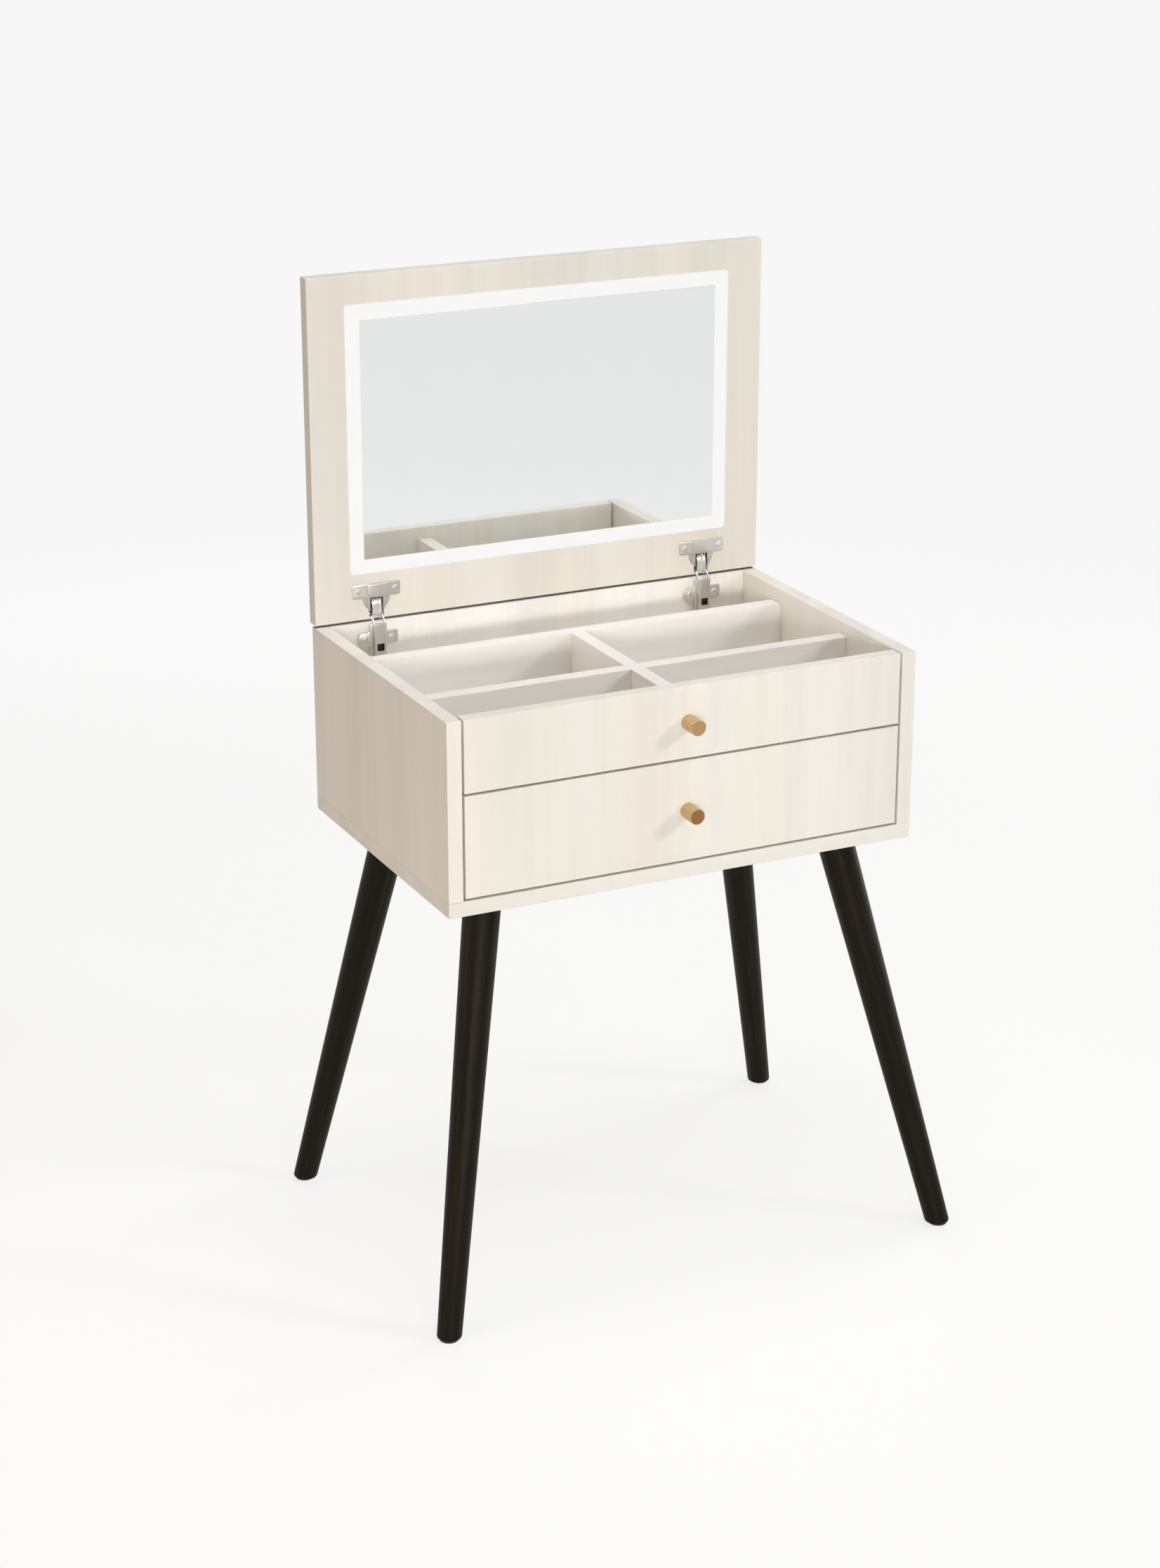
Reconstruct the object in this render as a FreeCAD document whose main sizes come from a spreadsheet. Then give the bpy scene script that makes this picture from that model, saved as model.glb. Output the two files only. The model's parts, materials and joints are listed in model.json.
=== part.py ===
"""Vanity table with a flip-up lid, a lit mirror in the lid, a drawer and splayed legs.

Millimetres. X runs to the table's right, Y to its back and Z up. The origin lies on the
floor, midway between the feet. The lid stands open and the drawer is shut.
"""
import FreeCAD
import Part
import Sketcher
import os

# Sizes that can be set by themselves
SIZES = {
    # Case: the boards that stand on the legs
    "width": 600,
    "depth": 400,
    "case_height": 232,
    "board": 18,
    "back_board": 12,
    "front_board": 18,
    "front_gap": 2.8,
    "edge_round": 0.8,
    "upper_front_height": 86.5,
    # Tray under the lid: its floor and its dividers
    "floor_board": 12,
    "divider_board": 18,
    "divider_drop": 16,
    "divider_corner": 6,
    "front_bay": 110.5,
    "rear_bay": 81.5,
    "lap_clearance": 0.2,
    # Fasteners that several pieces share
    "hole_clearance": 0.1,
    "pin_clearance": 0.05,
    "dowel_radius": 4,
    "dowel_in_board": 12,
    "dowel_in_side": 20,
    "peg_radius": 3,
    "peg_in_face": 8,
    "peg_in_edge": 16,
    "peg_margin": 60,
    "screw_radius": 1.75,
    "screw_head_radius": 3.4,
    "screw_head_height": 1.2,
    "screw_grip": 10,
    # Knobs
    "knob_radius": 9.5,
    "knob_length": 25,
    "knob_chamfer": 0.8,
    "knob_screw_radius": 2,
    "knob_screw_reach": 14,
    "knob_screw_head_radius": 4,
    "knob_screw_head_height": 2.5,
    # Legs, which lean out to the sides and to the front or back
    "leg_height": 498,
    "leg_inset": 70,
    "leg_splay": 100,
    "front_leg_inset": 63,
    "front_leg_splay": 114,
    "rear_leg_inset": 73,
    "rear_leg_splay": 79,
    "leg_top_radius": 22.4,
    "leg_foot_radius": 14.6,
    "foot_round": 3,
    "glide_height": 2,
    "glide_radius": 11,
    "glide_stem_radius": 2,
    "glide_stem_length": 12,
    "leg_bolt_radius": 4,
    "leg_bolt_reach": 34,
    "tee_flange_radius": 11,
    "tee_flange_height": 1.5,
    "tee_barrel_radius": 5.5,
    "tee_barrel_length": 13,
    # Lid and the gaps that it keeps, open and shut
    "lid_overhang": 18,
    "lid_board": 18,
    "lid_open_gap": 3.2,
    "lid_shut_gap": 2.5,
    "lid_set_back": 1,
    "lid_overlay": 11,
    # Lit mirror in the lid
    "mirror_low_margin": 57,
    "mirror_high_margin": 35,
    "mirror_side_margin": 46.5,
    "lit_corner": 4,
    "band": 17.5,
    "lit_proud": 0.8,
    "recess_depth": 5,
    "glass_thickness": 4,
    "pane_gap": 0.3,
    "pane_edge": 0.4,
    "groove_width": 11,
    "groove_depth": 4,
    "strip_width": 9.6,
    "strip_thickness": 1.6,
    # Battery, control board, touch switch and charging socket
    "pocket_depth": 8,
    "pocket_room": 3,
    "battery_length": 94,
    "battery_width": 54,
    "battery_thickness": 7,
    "battery_inset": 110,
    "control_length": 46,
    "control_width": 36,
    "control_thickness": 1.6,
    "control_inset": 8,
    "control_rise": 120,
    "touch_length": 30,
    "touch_width": 20,
    "touch_thickness": 1.4,
    "touch_rise": 24,
    "wire_radius": 3,
    "socket_radius": 5,
    "socket_length": 16,
    "socket_flange_radius": 6.5,
    "socket_flange_height": 1.2,
    # Lid hinges
    "hinge_inset": 79,
    "hinge_pin_radius": 2,
    "hinge_pin_overhang": 1,
    "knuckle_radius": 3.5,
    "cup_radius": 17.5,
    "cup_depth": 12,
    "cup_wall": 1,
    "cup_offset": 26.5,
    "flange_length": 62,
    "flange_width": 18,
    "flange_thickness": 1.5,
    "flange_offset": 36,
    "flange_screw_spacing": 48,
    "flange_corner": 3,
    "cap_width": 24,
    "cap_corner": 8,
    "cap_rise": 2,
    "notch_width": 20,
    "notch_length": 14,
    "notch_depth": 11,
    "link_width": 12,
    "link_proud": 1.5,
    "link_thickness": 4,
    "link_foot": 7,
    "arm_width": 15.5,
    "arm_wall": 1.2,
    "arm_stand_off": 11,
    "arm_lift": 4,
    "arm_drop": 0.5,
    "arm_length": 44,
    "arm_slot": 9,
    "arm_slot_drop": 9.5,
    "arm_slot_depth": 6,
    "ear_width": 5.5,
    "hinge_edge": 0.5,
    "plate_thickness": 2.5,
    "plate_length": 52,
    "plate_width": 17,
    "plate_drop": 21,
    "plate_screw_spacing": 34,
    "plate_corner": 6,
    "block_side_gap": 0.4,
    # Drawer box
    "slide_space": 13,
    "drawer_board": 12,
    "drawer_side_drop": 23.5,
    "drawer_lift": 12,
    "drawer_rear_space": 30,
    "drawer_floor_board": 6,
    "drawer_floor_lift": 6,
    "drawer_floor_tongue": 5,
    "drawer_screw_margin": 12,
    "drawer_screw_length": 30,
    # Telescopic drawer slides
    "rail_rear_inset": 8,
    "rail_height": 45,
    "rail_wall": 1.2,
    "rail_gap": 0.3,
    "rail_depth": 10,
    "rail_screw_margin": 30,
}

# Places worked out from the sizes, each from the sizes and the places above it
PLACES = {
    "right": "sizes.width / 2",
    "inner_right": "right - sizes.board",
    "feet_front": "sizes.front_leg_inset - sizes.front_leg_splay",
    "feet_rear": "sizes.depth - sizes.rear_leg_inset + sizes.rear_leg_splay",
    "front": "-(feet_front + feet_rear) / 2",
    "behind_front": "front + sizes.front_board",
    "back": "front + sizes.depth",
    "back_inner": "back - sizes.back_board",
    "underside": "sizes.leg_height",
    "case_floor": "underside + sizes.board",
    "top": "underside + sizes.case_height",
    "drawer_front_low": "case_floor + sizes.front_gap",
    "tray_low": "top - sizes.upper_front_height",
    "drawer_front_high": "tray_low - sizes.front_gap",
    "tray_middle": "tray_low + sizes.floor_board / 2",
    "tray_floor": "tray_low + sizes.floor_board",
    "divider_top": "top - sizes.divider_drop",
    "divider_lap": "(tray_floor + divider_top) / 2",
    "middle_front": "behind_front + sizes.front_bay",
    "middle_back": "middle_front + sizes.divider_board",
    "rear_back": "back_inner - sizes.rear_bay",
    "rear_front": "rear_back - sizes.divider_board",
    "lid_face": "back_inner + sizes.lid_set_back",
    "lid_back": "lid_face + sizes.lid_board",
    "lid_low": "top + sizes.lid_open_gap",
    "lid_high": "lid_low + lid_face + sizes.lid_overlay - front + sizes.lid_overhang",
    "lift": "sizes.lid_open_gap - sizes.lid_shut_gap",
    "pin_y": "lid_face + (sizes.lid_overlay + lift) / 2",
    "pin_z": "lid_low + (sizes.lid_overlay - lift) / 2",
    "recess_floor": "lid_face + sizes.recess_depth",
    "groove_floor": "recess_floor + sizes.groove_depth",
    "pocket_floor": "recess_floor + sizes.pocket_depth",
    "lit_face": "lid_face - sizes.lit_proud",
    "glass_back": "lit_face + sizes.glass_thickness",
    "lit_right": "right - sizes.mirror_side_margin",
    "lit_low": "lid_low + sizes.mirror_low_margin",
    "lit_high": "lid_high - sizes.mirror_high_margin",
    "lit_middle": "(lit_low + lit_high) / 2",
    "pane_inset": "sizes.band + sizes.pane_gap",
    "control_right": "lit_right - sizes.band - sizes.control_inset",
    "control_low": "lit_low + sizes.control_rise",
    "control_middle": "control_low + sizes.control_width / 2",
    "battery_right": "lit_right - sizes.battery_inset",
    "battery_low": "lit_middle - sizes.battery_width / 2",
    "touch_low": "lit_low + sizes.band + sizes.touch_rise",
    "socket_y": "lid_face + sizes.lid_board / 2",
    "hinge_x": "right - sizes.hinge_inset",
    "cup_z": "lid_low + sizes.cup_offset",
    "cup_floor": "lid_face + sizes.cup_depth - sizes.cup_wall",
    "flange_z": "lid_low + sizes.flange_offset",
    "flange_face": "lid_face - sizes.flange_thickness",
    "link_top": "flange_z - sizes.flange_width / 2",
    "link_face": "lid_face - sizes.link_proud",
    "arm_face": "back_inner - sizes.arm_stand_off",
    "arm_rear": "back_inner - sizes.arm_lift",
    "arm_high": "top - sizes.arm_drop",
    "arm_low": "arm_high - sizes.arm_length",
    "plate_z": "top - sizes.plate_drop",
    "plate_face": "back_inner - sizes.plate_thickness",
    "drawer_right": "inner_right - sizes.slide_space",
    "drawer_inner": "drawer_right - sizes.drawer_board",
    "drawer_low": "case_floor + sizes.drawer_lift",
    "drawer_high": "drawer_front_high - sizes.drawer_side_drop",
    "drawer_middle": "(drawer_low + drawer_high) / 2",
    "drawer_rear": "back_inner - sizes.drawer_rear_space",
    "drawer_floor_low": "drawer_low + sizes.drawer_floor_lift",
    "drawer_floor_high": "drawer_floor_low + sizes.drawer_floor_board",
    "rail_front": "behind_front + sizes.front_gap",
    "rail_back": "drawer_rear - sizes.rail_rear_inset",
    "rail_step": "sizes.rail_wall + sizes.rail_gap",
}

# Words for the sides of the table, with the sign of X there
SIDES = {"left": -1, "right": 1}
# Overlap that lets a cutting solid pass clear through a face
PASS = 1

doc = FreeCAD.newDocument("vanity_table")
nodes = []


def fill_sheet(name, cells, mark):
    """Adds a sheet with one row for each named cell."""
    sheet = doc.addObject("Spreadsheet::Sheet", name)
    for row, (alias, content) in enumerate(cells.items(), start=1):
        sheet.set(f"A{row}", alias)
        sheet.set(f"B{row}", f"{mark}{content}")
        sheet.setAlias(f"B{row}", alias)
    doc.recompute()
    return sheet


sizes = fill_sheet("sizes", SIZES, "")
places = fill_sheet("places", PLACES, "=")


def value(expression):
    """The number that an expression gives at the sheet's present sizes."""
    return float(places.evalExpression(str(expression)))


def size(name):
    """A size as a bare expression."""
    return f"sizes.{name}"


def at(name):
    """A place as a bare expression."""
    return f"places.{name}"


def about(middle, extent):
    """The span of an extent that is centred on a middle."""
    return (f"({middle}) - ({extent}) / 2", f"({middle}) + ({extent}) / 2")


def sided(sign, low, high):
    """A span along X on the right, or its mirror image on the left."""
    if sign > 0:
        return (low, high)
    return (f"-({high})", f"-({low})")


def grown(span, room):
    """A span with room added at both ends."""
    return (f"({span[0]}) - ({room})", f"({span[1]}) + ({room})")


def slab(label, x, y, z):
    """A block between three spans."""
    block = doc.addObject("Part::Box", label)
    for extent, axis, (low, high) in zip(("Length", "Width", "Height"), "xyz", (x, y, z)):
        block.setExpression(extent, f"({high}) - ({low})")
        block.setExpression(f"Placement.Base.{axis}", str(low))
    return block


def set_along(solid, x, y, z):
    """Stands a solid of revolution along the one axis that is given as a span."""
    turns = {
        0: FreeCAD.Rotation(FreeCAD.Vector(0, 1, 0), 90),
        1: FreeCAD.Rotation(FreeCAD.Vector(1, 0, 0), -90),
        2: FreeCAD.Rotation(),
    }
    for index, place in enumerate((x, y, z)):
        if isinstance(place, tuple):
            solid.Placement = FreeCAD.Placement(FreeCAD.Vector(), turns[index])
            solid.setExpression("Height", f"({place[1]}) - ({place[0]})")
    for axis, place in zip("xyz", (x, y, z)):
        low = place[0] if isinstance(place, tuple) else place
        solid.setExpression(f"Placement.Base.{axis}", str(low))
    return solid


def rod(label, radius, x, y, z):
    """A round rod along the axis that is given as a span."""
    solid = doc.addObject("Part::Cylinder", label)
    solid.setExpression("Radius", radius)
    return set_along(solid, x, y, z)


def taper(label, low_radius, high_radius, x, y, z):
    """A cone along the axis that is given as a span."""
    solid = doc.addObject("Part::Cone", label)
    solid.setExpression("Radius1", low_radius)
    solid.setExpression("Radius2", high_radius)
    return set_along(solid, x, y, z)


def joined(label, solids):
    """One solid from several that meet."""
    whole = doc.addObject("Part::MultiFuse", label)
    whole.Shapes = solids
    whole.Refine = True
    return whole


def group(label, solids):
    """Separate solids kept together under one name."""
    whole = doc.addObject("Part::Compound", label)
    whole.Links = solids
    return whole


def cut(label, base, tools):
    """A solid with others taken away from it, one after another."""
    for index, tool in enumerate(tools):
        last = index == len(tools) - 1
        result = doc.addObject("Part::Cut", label if last else f"{label}_cut_{index}")
        result.Base = base
        result.Tool = tool
        base = result
    return base


def shared(label, first, second):
    """What two solids have in common."""
    result = doc.addObject("Part::Common", label)
    result.Base = first
    result.Tool = second
    return result


def rounded(label, base, radius, chosen):
    """A solid with a fillet on each edge that the chooser accepts."""
    doc.recompute()
    edges = [index for index, edge in enumerate(base.Shape.Edges, start=1) if chosen(edge)]
    if not edges:
        raise RuntimeError(f"{label}: no edge to round")
    result = doc.addObject("Part::Fillet", label)
    result.Base = base
    result.Edges = [(index, radius, radius) for index in edges]
    return result


def runs_along(axis):
    """A chooser of straight edges that run along one axis."""
    def chosen(edge):
        box = edge.BoundBox
        lengths = {"x": box.XLength, "y": box.YLength, "z": box.ZLength}
        return lengths[axis] > 0.01 and abs(lengths[axis] - edge.Length) < 0.001
    return chosen


def lies_at(axis, place, along=None):
    """A chooser of edges that lie wholly at one place along an axis, or of those along another."""
    height = value(place)

    def chosen(edge):
        box = edge.BoundBox
        low = {"x": box.XMin, "y": box.YMin, "z": box.ZMin}[axis]
        high = {"x": box.XMax, "y": box.YMax, "z": box.ZMax}[axis]
        there = abs(low - height) < 0.01 and abs(high - height) < 0.01
        return there and (along is None or runs_along(along)(edge))
    return chosen


def board(label, x, y, z):
    """A board between three spans, with all its edges eased."""
    return rounded(label, slab(f"{label}_sawn", x, y, z), value(size("edge_round")),
                   lambda edge: True)


def outline(body, role, points):
    """A closed sketch of straight lines on one of a body's origin planes."""
    sketch = body.newObject("Sketcher::SketchObject", f"{body.Name}_outline")
    plane = next(item for item in body.Origin.OriginFeatures if item.Role == role)
    sketch.AttachmentSupport = (plane, [""])
    sketch.MapMode = "FlatFace"
    corners = [FreeCAD.Vector(value(across), value(up), 0) for across, up in points]
    count = len(corners)
    for index in range(count):
        sketch.addGeometry(Part.LineSegment(corners[index], corners[(index + 1) % count]), False)
    for index in range(count):
        sketch.addConstraint(Sketcher.Constraint("Coincident", index, 2, (index + 1) % count, 1))
    for index, (across, up) in enumerate(points):
        for kind, expression, axis in (("DistanceX", across, -2), ("DistanceY", up, -1)):
            if str(expression) == "0":
                sketch.addConstraint(Sketcher.Constraint("PointOnObject", index, 1, axis))
                continue
            number = value(expression)
            place = sketch.addConstraint(Sketcher.Constraint(kind, -1, 1, index, 1, number))
            sketch.setExpression(f"Constraints[{place}]", expression)
    doc.recompute()
    return sketch


def padded(label, role, points, length):
    """A body made by pushing an outline out along its plane's normal."""
    body = doc.addObject("PartDesign::Body", label)
    pad = body.newObject("PartDesign::Pad", f"{label}_pad")
    pad.Profile = outline(body, role, points)
    pad.setExpression("Length", length)
    body.Tip = pad
    return body


def turned(label, points):
    """A body made by turning an outline about its upright axis."""
    body = doc.addObject("PartDesign::Body", label)
    sketch = outline(body, "XZ_Plane", points)
    turn = body.newObject("PartDesign::Revolution", f"{label}_turn")
    turn.Profile = sketch
    turn.ReferenceAxis = (sketch, ["V_Axis"])
    turn.Angle = 360
    body.Tip = turn
    return body


def keep(*solids):
    """Marks finished sub-parts for export."""
    nodes.extend(solids)


def screw(label, x, y, z, head_at_high):
    """A countersunk screw along the axis given as a span, with its head at one end."""
    spans = [place for place in (x, y, z) if isinstance(place, tuple)]
    low, high = spans[0]
    head = size("screw_head_height")
    if head_at_high:
        head_span = (f"({high}) - {head}", high)
        radii = (size("screw_radius"), size("screw_head_radius"))
    else:
        head_span = (low, f"({low}) + {head}")
        radii = (size("screw_head_radius"), size("screw_radius"))
    head_place = [head_span if isinstance(place, tuple) else place for place in (x, y, z)]
    shank = rod(f"{label}_shank", size("screw_radius"), x, y, z)
    cone = taper(f"{label}_head", *radii, *head_place)
    return joined(label, [shank, cone])


def peg_pair(label, radius, x, y, z):
    """A wooden peg and the hole that it fills in the boards."""
    peg = rod(label, radius, x, y, z)
    room = size("hole_clearance")
    spans = [grown(place, room) if isinstance(place, tuple) else place for place in (x, y, z)]
    hole = rod(f"{label}_hole", f"{radius} + {room}", *spans)
    return peg, hole


WIDE = (f"-{at('right')}", at("right"))
INNER_WIDE = (f"-{at('inner_right')}", at("inner_right"))
CASE_DEEP = (at("front"), at("back"))
CASE_TALL = (at("case_floor"), at("top"))
FRONT_WIDE = grown(INNER_WIDE, f"-{size('front_gap')}")
FRONT_DEEP = (at("front"), at("behind_front"))
TRAY_DEEP = (at("behind_front"), at("back_inner"))


# Dowels between the sides and the bottom board
dowels = []
dowel_holes = []
for side, sign in SIDES.items():
    rows = (f"{at('front')} + {size('peg_margin')}", f"({at('front')} + {at('back')}) / 2",
            f"{at('back')} - {size('peg_margin')}")
    for index, row in enumerate(rows):
        peg, hole = peg_pair(
            f"{side}_dowel_{index}", size("dowel_radius"),
            f"{sign} * ({at('right')} - {size('board')} / 2)", row,
            (f"{at('case_floor')} - {size('dowel_in_board')}",
             f"{at('case_floor')} + {size('dowel_in_side')}"))
        dowels.append(peg)
        dowel_holes.append(hole)
panel_dowels = group("panel_dowels", dowels)
panel_dowel_holes = group("panel_dowel_holes", dowel_holes)

# Pegs that hold the back, the tray floor, the upper front and the dividers
pegs = []
peg_holes = []


def add_peg(label, x, y, z):
    """Adds one peg to the case's set."""
    peg, hole = peg_pair(label, size("peg_radius"), x, y, z)
    pegs.append(peg)
    peg_holes.append(hole)


for side, sign in SIDES.items():
    into_side = sided(sign, f"{at('inner_right')} - {size('peg_in_edge')}",
                      f"{at('inner_right')} + {size('peg_in_face')}")
    back_row = f"{at('back')} - {size('back_board')} / 2"
    add_peg(f"{side}_back_peg_low", into_side, back_row,
            f"{at('case_floor')} + {size('peg_margin')}")
    add_peg(f"{side}_back_peg_high", into_side, back_row,
            f"{at('tray_floor')} + {size('peg_in_edge')}")
    add_peg(f"{side}_tray_peg_front", into_side,
            f"{at('behind_front')} + {size('peg_margin')}", at("tray_middle"))
    add_peg(f"{side}_tray_peg_back", into_side,
            f"{at('back_inner')} - {size('peg_margin')}", at("tray_middle"))
    column = f"{sign} * ({at('inner_right')} - {size('peg_margin')})"
    into_tray = (f"{at('tray_floor')} - {size('peg_in_face')}",
                 f"{at('tray_floor')} + {size('peg_in_edge')}")
    add_peg(f"{side}_front_peg", column,
            (f"{at('behind_front')} - {size('peg_in_face')}",
             f"{at('behind_front')} + {size('peg_in_edge')}"), at("tray_middle"))
    add_peg(f"{side}_middle_peg", column,
            f"({at('middle_front')} + {at('middle_back')}) / 2", into_tray)
    add_peg(f"{side}_rear_peg", column,
            f"({at('rear_front')} + {at('rear_back')}) / 2", into_tray)
add_peg("centre_peg", "0", f"({at('behind_front')} + {at('middle_front')}) / 2", into_tray)
tray_pegs = group("tray_pegs", pegs)
tray_peg_holes = group("tray_peg_holes", peg_holes)
keep(panel_dowels, tray_pegs)


# Leg bolts stand upright, so a leg whose top is cut level screws tight at any turn
def leg_end(end):
    """The row where a pair of legs meets the case, and how far its feet lean from it."""
    if end == "front":
        return f"{at('front')} + {size('front_leg_inset')}", f"-{size('front_leg_splay')}"
    return f"{at('back')} - {size('rear_leg_inset')}", size("rear_leg_splay")


leg_bolts = []
leg_bolt_holes = []
tee_nuts = []
tee_nut_holes = []
for end in ("front", "rear"):
    row, lean_row = leg_end(end)
    for side, sign in SIDES.items():
        name = f"{end}_{side}_leg"
        column = f"{sign} * ({at('right')} - {size('leg_inset')})"
        bolt_span = (f"{at('underside')} - {size('leg_bolt_reach')}", at("case_floor"))
        bolt = rod(f"{name}_bolt", size("leg_bolt_radius"), column, row, bolt_span)
        bolt_hole = rod(f"{name}_bolt_hole",
                        f"{size('leg_bolt_radius')} + {size('hole_clearance')}",
                        column, row, grown(bolt_span, size("hole_clearance")))
        leg_bolts.append(bolt)
        leg_bolt_holes.append(bolt_hole)
        flange = rod(f"{name}_tee_flange", size("tee_flange_radius"), column, row,
                     (at("case_floor"), f"{at('case_floor')} + {size('tee_flange_height')}"))
        barrel_span = (f"{at('case_floor')} - {size('tee_barrel_length')}", at("case_floor"))
        barrel = rod(f"{name}_tee_barrel", size("tee_barrel_radius"), column, row, barrel_span)
        thread = rod(f"{name}_tee_thread",
                     f"{size('leg_bolt_radius')} + {size('pin_clearance')}", column, row,
                     grown(barrel_span, f"{size('tee_flange_height')} + {PASS}"))
        tee_nuts.append(cut(f"{name}_tee_nut", joined(f"{name}_tee", [flange, barrel]), [thread]))
        tee_nut_holes.append(rod(f"{name}_tee_hole",
                                 f"{size('tee_barrel_radius')} + {size('hole_clearance')}",
                                 column, row,
                                 grown(barrel_span, size("hole_clearance"))))

        # Cone along the leaning axis, run past both ends and then cut level
        length = f"sqrt({size('leg_splay')} ^ 2 + ({lean_row}) ^ 2 + {size('leg_height')} ^ 2)"
        run_out = size("leg_top_radius")
        swell = f"({size('leg_top_radius')} - {size('leg_foot_radius')}) * {run_out} / {length}"
        lean_x = f"{-sign} * {size('leg_splay')}"
        lean_y = f"-({lean_row})"
        foot_x = f"{column} - ({lean_x})"
        foot_y = f"{row} - ({lean_y})"
        cone = doc.addObject("Part::Cone", f"{name}_cone")
        cone.setExpression("Height", f"{length} + 2 * {run_out}")
        cone.setExpression("Radius1", f"{size('leg_foot_radius')} - {swell}")
        cone.setExpression("Radius2", f"{size('leg_top_radius')} + {swell}")
        start = [f"{place} - ({lean}) * {run_out} / {length}" for place, lean in
                 ((foot_x, lean_x), (foot_y, lean_y), ("0", size("leg_height")))]
        tilt = f"atan2(sqrt(({lean_x}) ^ 2 + ({lean_y}) ^ 2); {size('leg_height')})"
        cone.setExpression("Placement", f"placement(vector({start[0]}; {start[1]}; {start[2]}); "
                           f"rotation(vector(-({lean_y}); {lean_x}; 0); {tilt}))")
        level = slab(f"{name}_level", about("0", f"3 * {size('width')}"),
                     about("0", f"3 * {size('depth')}"),
                     (size("glide_height"), at("underside")))
        stem_span = ("0", f"{size('glide_height')} + {size('glide_stem_length')}")
        stem_hole = rod(f"{name}_stem_hole",
                        f"{size('glide_stem_radius')} + {size('hole_clearance')}",
                        foot_x, foot_y, grown(stem_span, size("hole_clearance")))
        blank = cut(f"{name}_blank", shared(f"{name}_turned", cone, level), [bolt_hole, stem_hole])
        foot_level = value(size("glide_height"))
        stem_round = 8 * value(size("glide_stem_radius"))

        def foot_rim(edge):
            """True for the leg's outer edge at the foot."""
            box = edge.BoundBox
            low = abs(box.ZMin - foot_level) < 0.01 and abs(box.ZMax - foot_level) < 0.01
            return low and edge.Length > stem_round

        keep(rounded(name, blank, value(size("foot_round")), foot_rim))

        pad = rod(f"{name}_pad", size("glide_radius"), foot_x, foot_y, ("0", size("glide_height")))
        stem = rod(f"{name}_stem", size("glide_stem_radius"), foot_x, foot_y, stem_span)
        keep(joined(f"{end}_{side}_glide", [pad, stem]))
leg_bolt_set = group("leg_bolts", leg_bolts)
leg_bolt_hole_set = group("leg_bolt_holes", leg_bolt_holes)
tee_nut_set = group("tee_nuts", tee_nuts)
tee_nut_hole_set = group("tee_nut_holes", tee_nut_holes)
keep(leg_bolt_set, tee_nut_set)

# Telescopic slides: a rail on the case, one on the drawer and one that runs between them
case_rail_screws = []
drawer_rail_screws = []
rail_rows = (f"{at('rail_front')} + {size('rail_screw_margin')}",
             f"({at('rail_front')} + {at('rail_back')}) / 2",
             f"{at('rail_back')} - {size('rail_screw_margin')}")


def rail(label, sign, web, tip, half_height):
    """A channel whose web stands at one place along X and whose lips reach to another."""
    wall = size("rail_wall")
    inner = f"({web}) + {wall} * ({tip} - ({web})) / abs({tip} - ({web}))"
    corners = ((web, f"-({half_height})"), (tip, f"-({half_height})"),
               (tip, f"{wall} - ({half_height})"), (inner, f"{wall} - ({half_height})"),
               (inner, f"({half_height}) - {wall}"), (tip, f"({half_height}) - {wall}"),
               (tip, half_height), (web, half_height))
    points = [(f"{sign} * ({across})", up) for across, up in corners]
    body = padded(label, "XZ_Plane", points, f"{at('rail_back')} - {at('rail_front')}")
    body.setExpression("Placement.Base.y", at("rail_back"))
    body.setExpression("Placement.Base.z", at("drawer_middle"))
    return body


for side, sign in SIDES.items():
    step = at("rail_step")
    lip = f"{at('inner_right')} - {size('rail_depth')}"
    half = f"{size('rail_height')} / 2"
    case_blank = rail(f"{side}_case_rail_blank", sign, at("inner_right"), lip, half)
    middle_rail = rail(f"{side}_middle_rail", sign, f"{at('inner_right')} - {step}", lip,
                       f"{half} - {step}")
    drawer_blank = rail(f"{side}_drawer_rail_blank", sign, at("drawer_right"),
                        f"{at('inner_right')} - 2 * {step}", f"{half} - 2 * {step}")
    case_screws = []
    drawer_screws = []
    for index, row in enumerate(rail_rows):
        case_span = sided(sign, f"{at('inner_right')} - {size('rail_wall')}",
                          f"{at('inner_right')} + {size('screw_grip')}")
        case_screws.append(screw(f"{side}_case_rail_screw_{index}", case_span, row,
                                 at("drawer_middle"), head_at_high=sign < 0))
        drawer_span = sided(sign, f"{at('drawer_right')} - {size('screw_grip')}",
                            f"{at('drawer_right')} + {size('rail_wall')}")
        drawer_screws.append(screw(f"{side}_drawer_rail_screw_{index}", drawer_span, row,
                                   at("drawer_middle"), head_at_high=sign > 0))
    case_rail_screws.extend(case_screws)
    drawer_rail_screws.extend(drawer_screws)
    keep(cut(f"{side}_case_rail", case_blank, [group(f"{side}_case_rail_holes", case_screws)]))
    keep(middle_rail)
    keep(cut(f"{side}_drawer_rail", drawer_blank,
             [group(f"{side}_drawer_rail_holes", drawer_screws)]))
case_rail_screw_set = group("case_rail_screws", case_rail_screws)
drawer_rail_screw_set = group("drawer_rail_screws", drawer_rail_screws)
keep(case_rail_screw_set, drawer_rail_screw_set)


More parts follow.
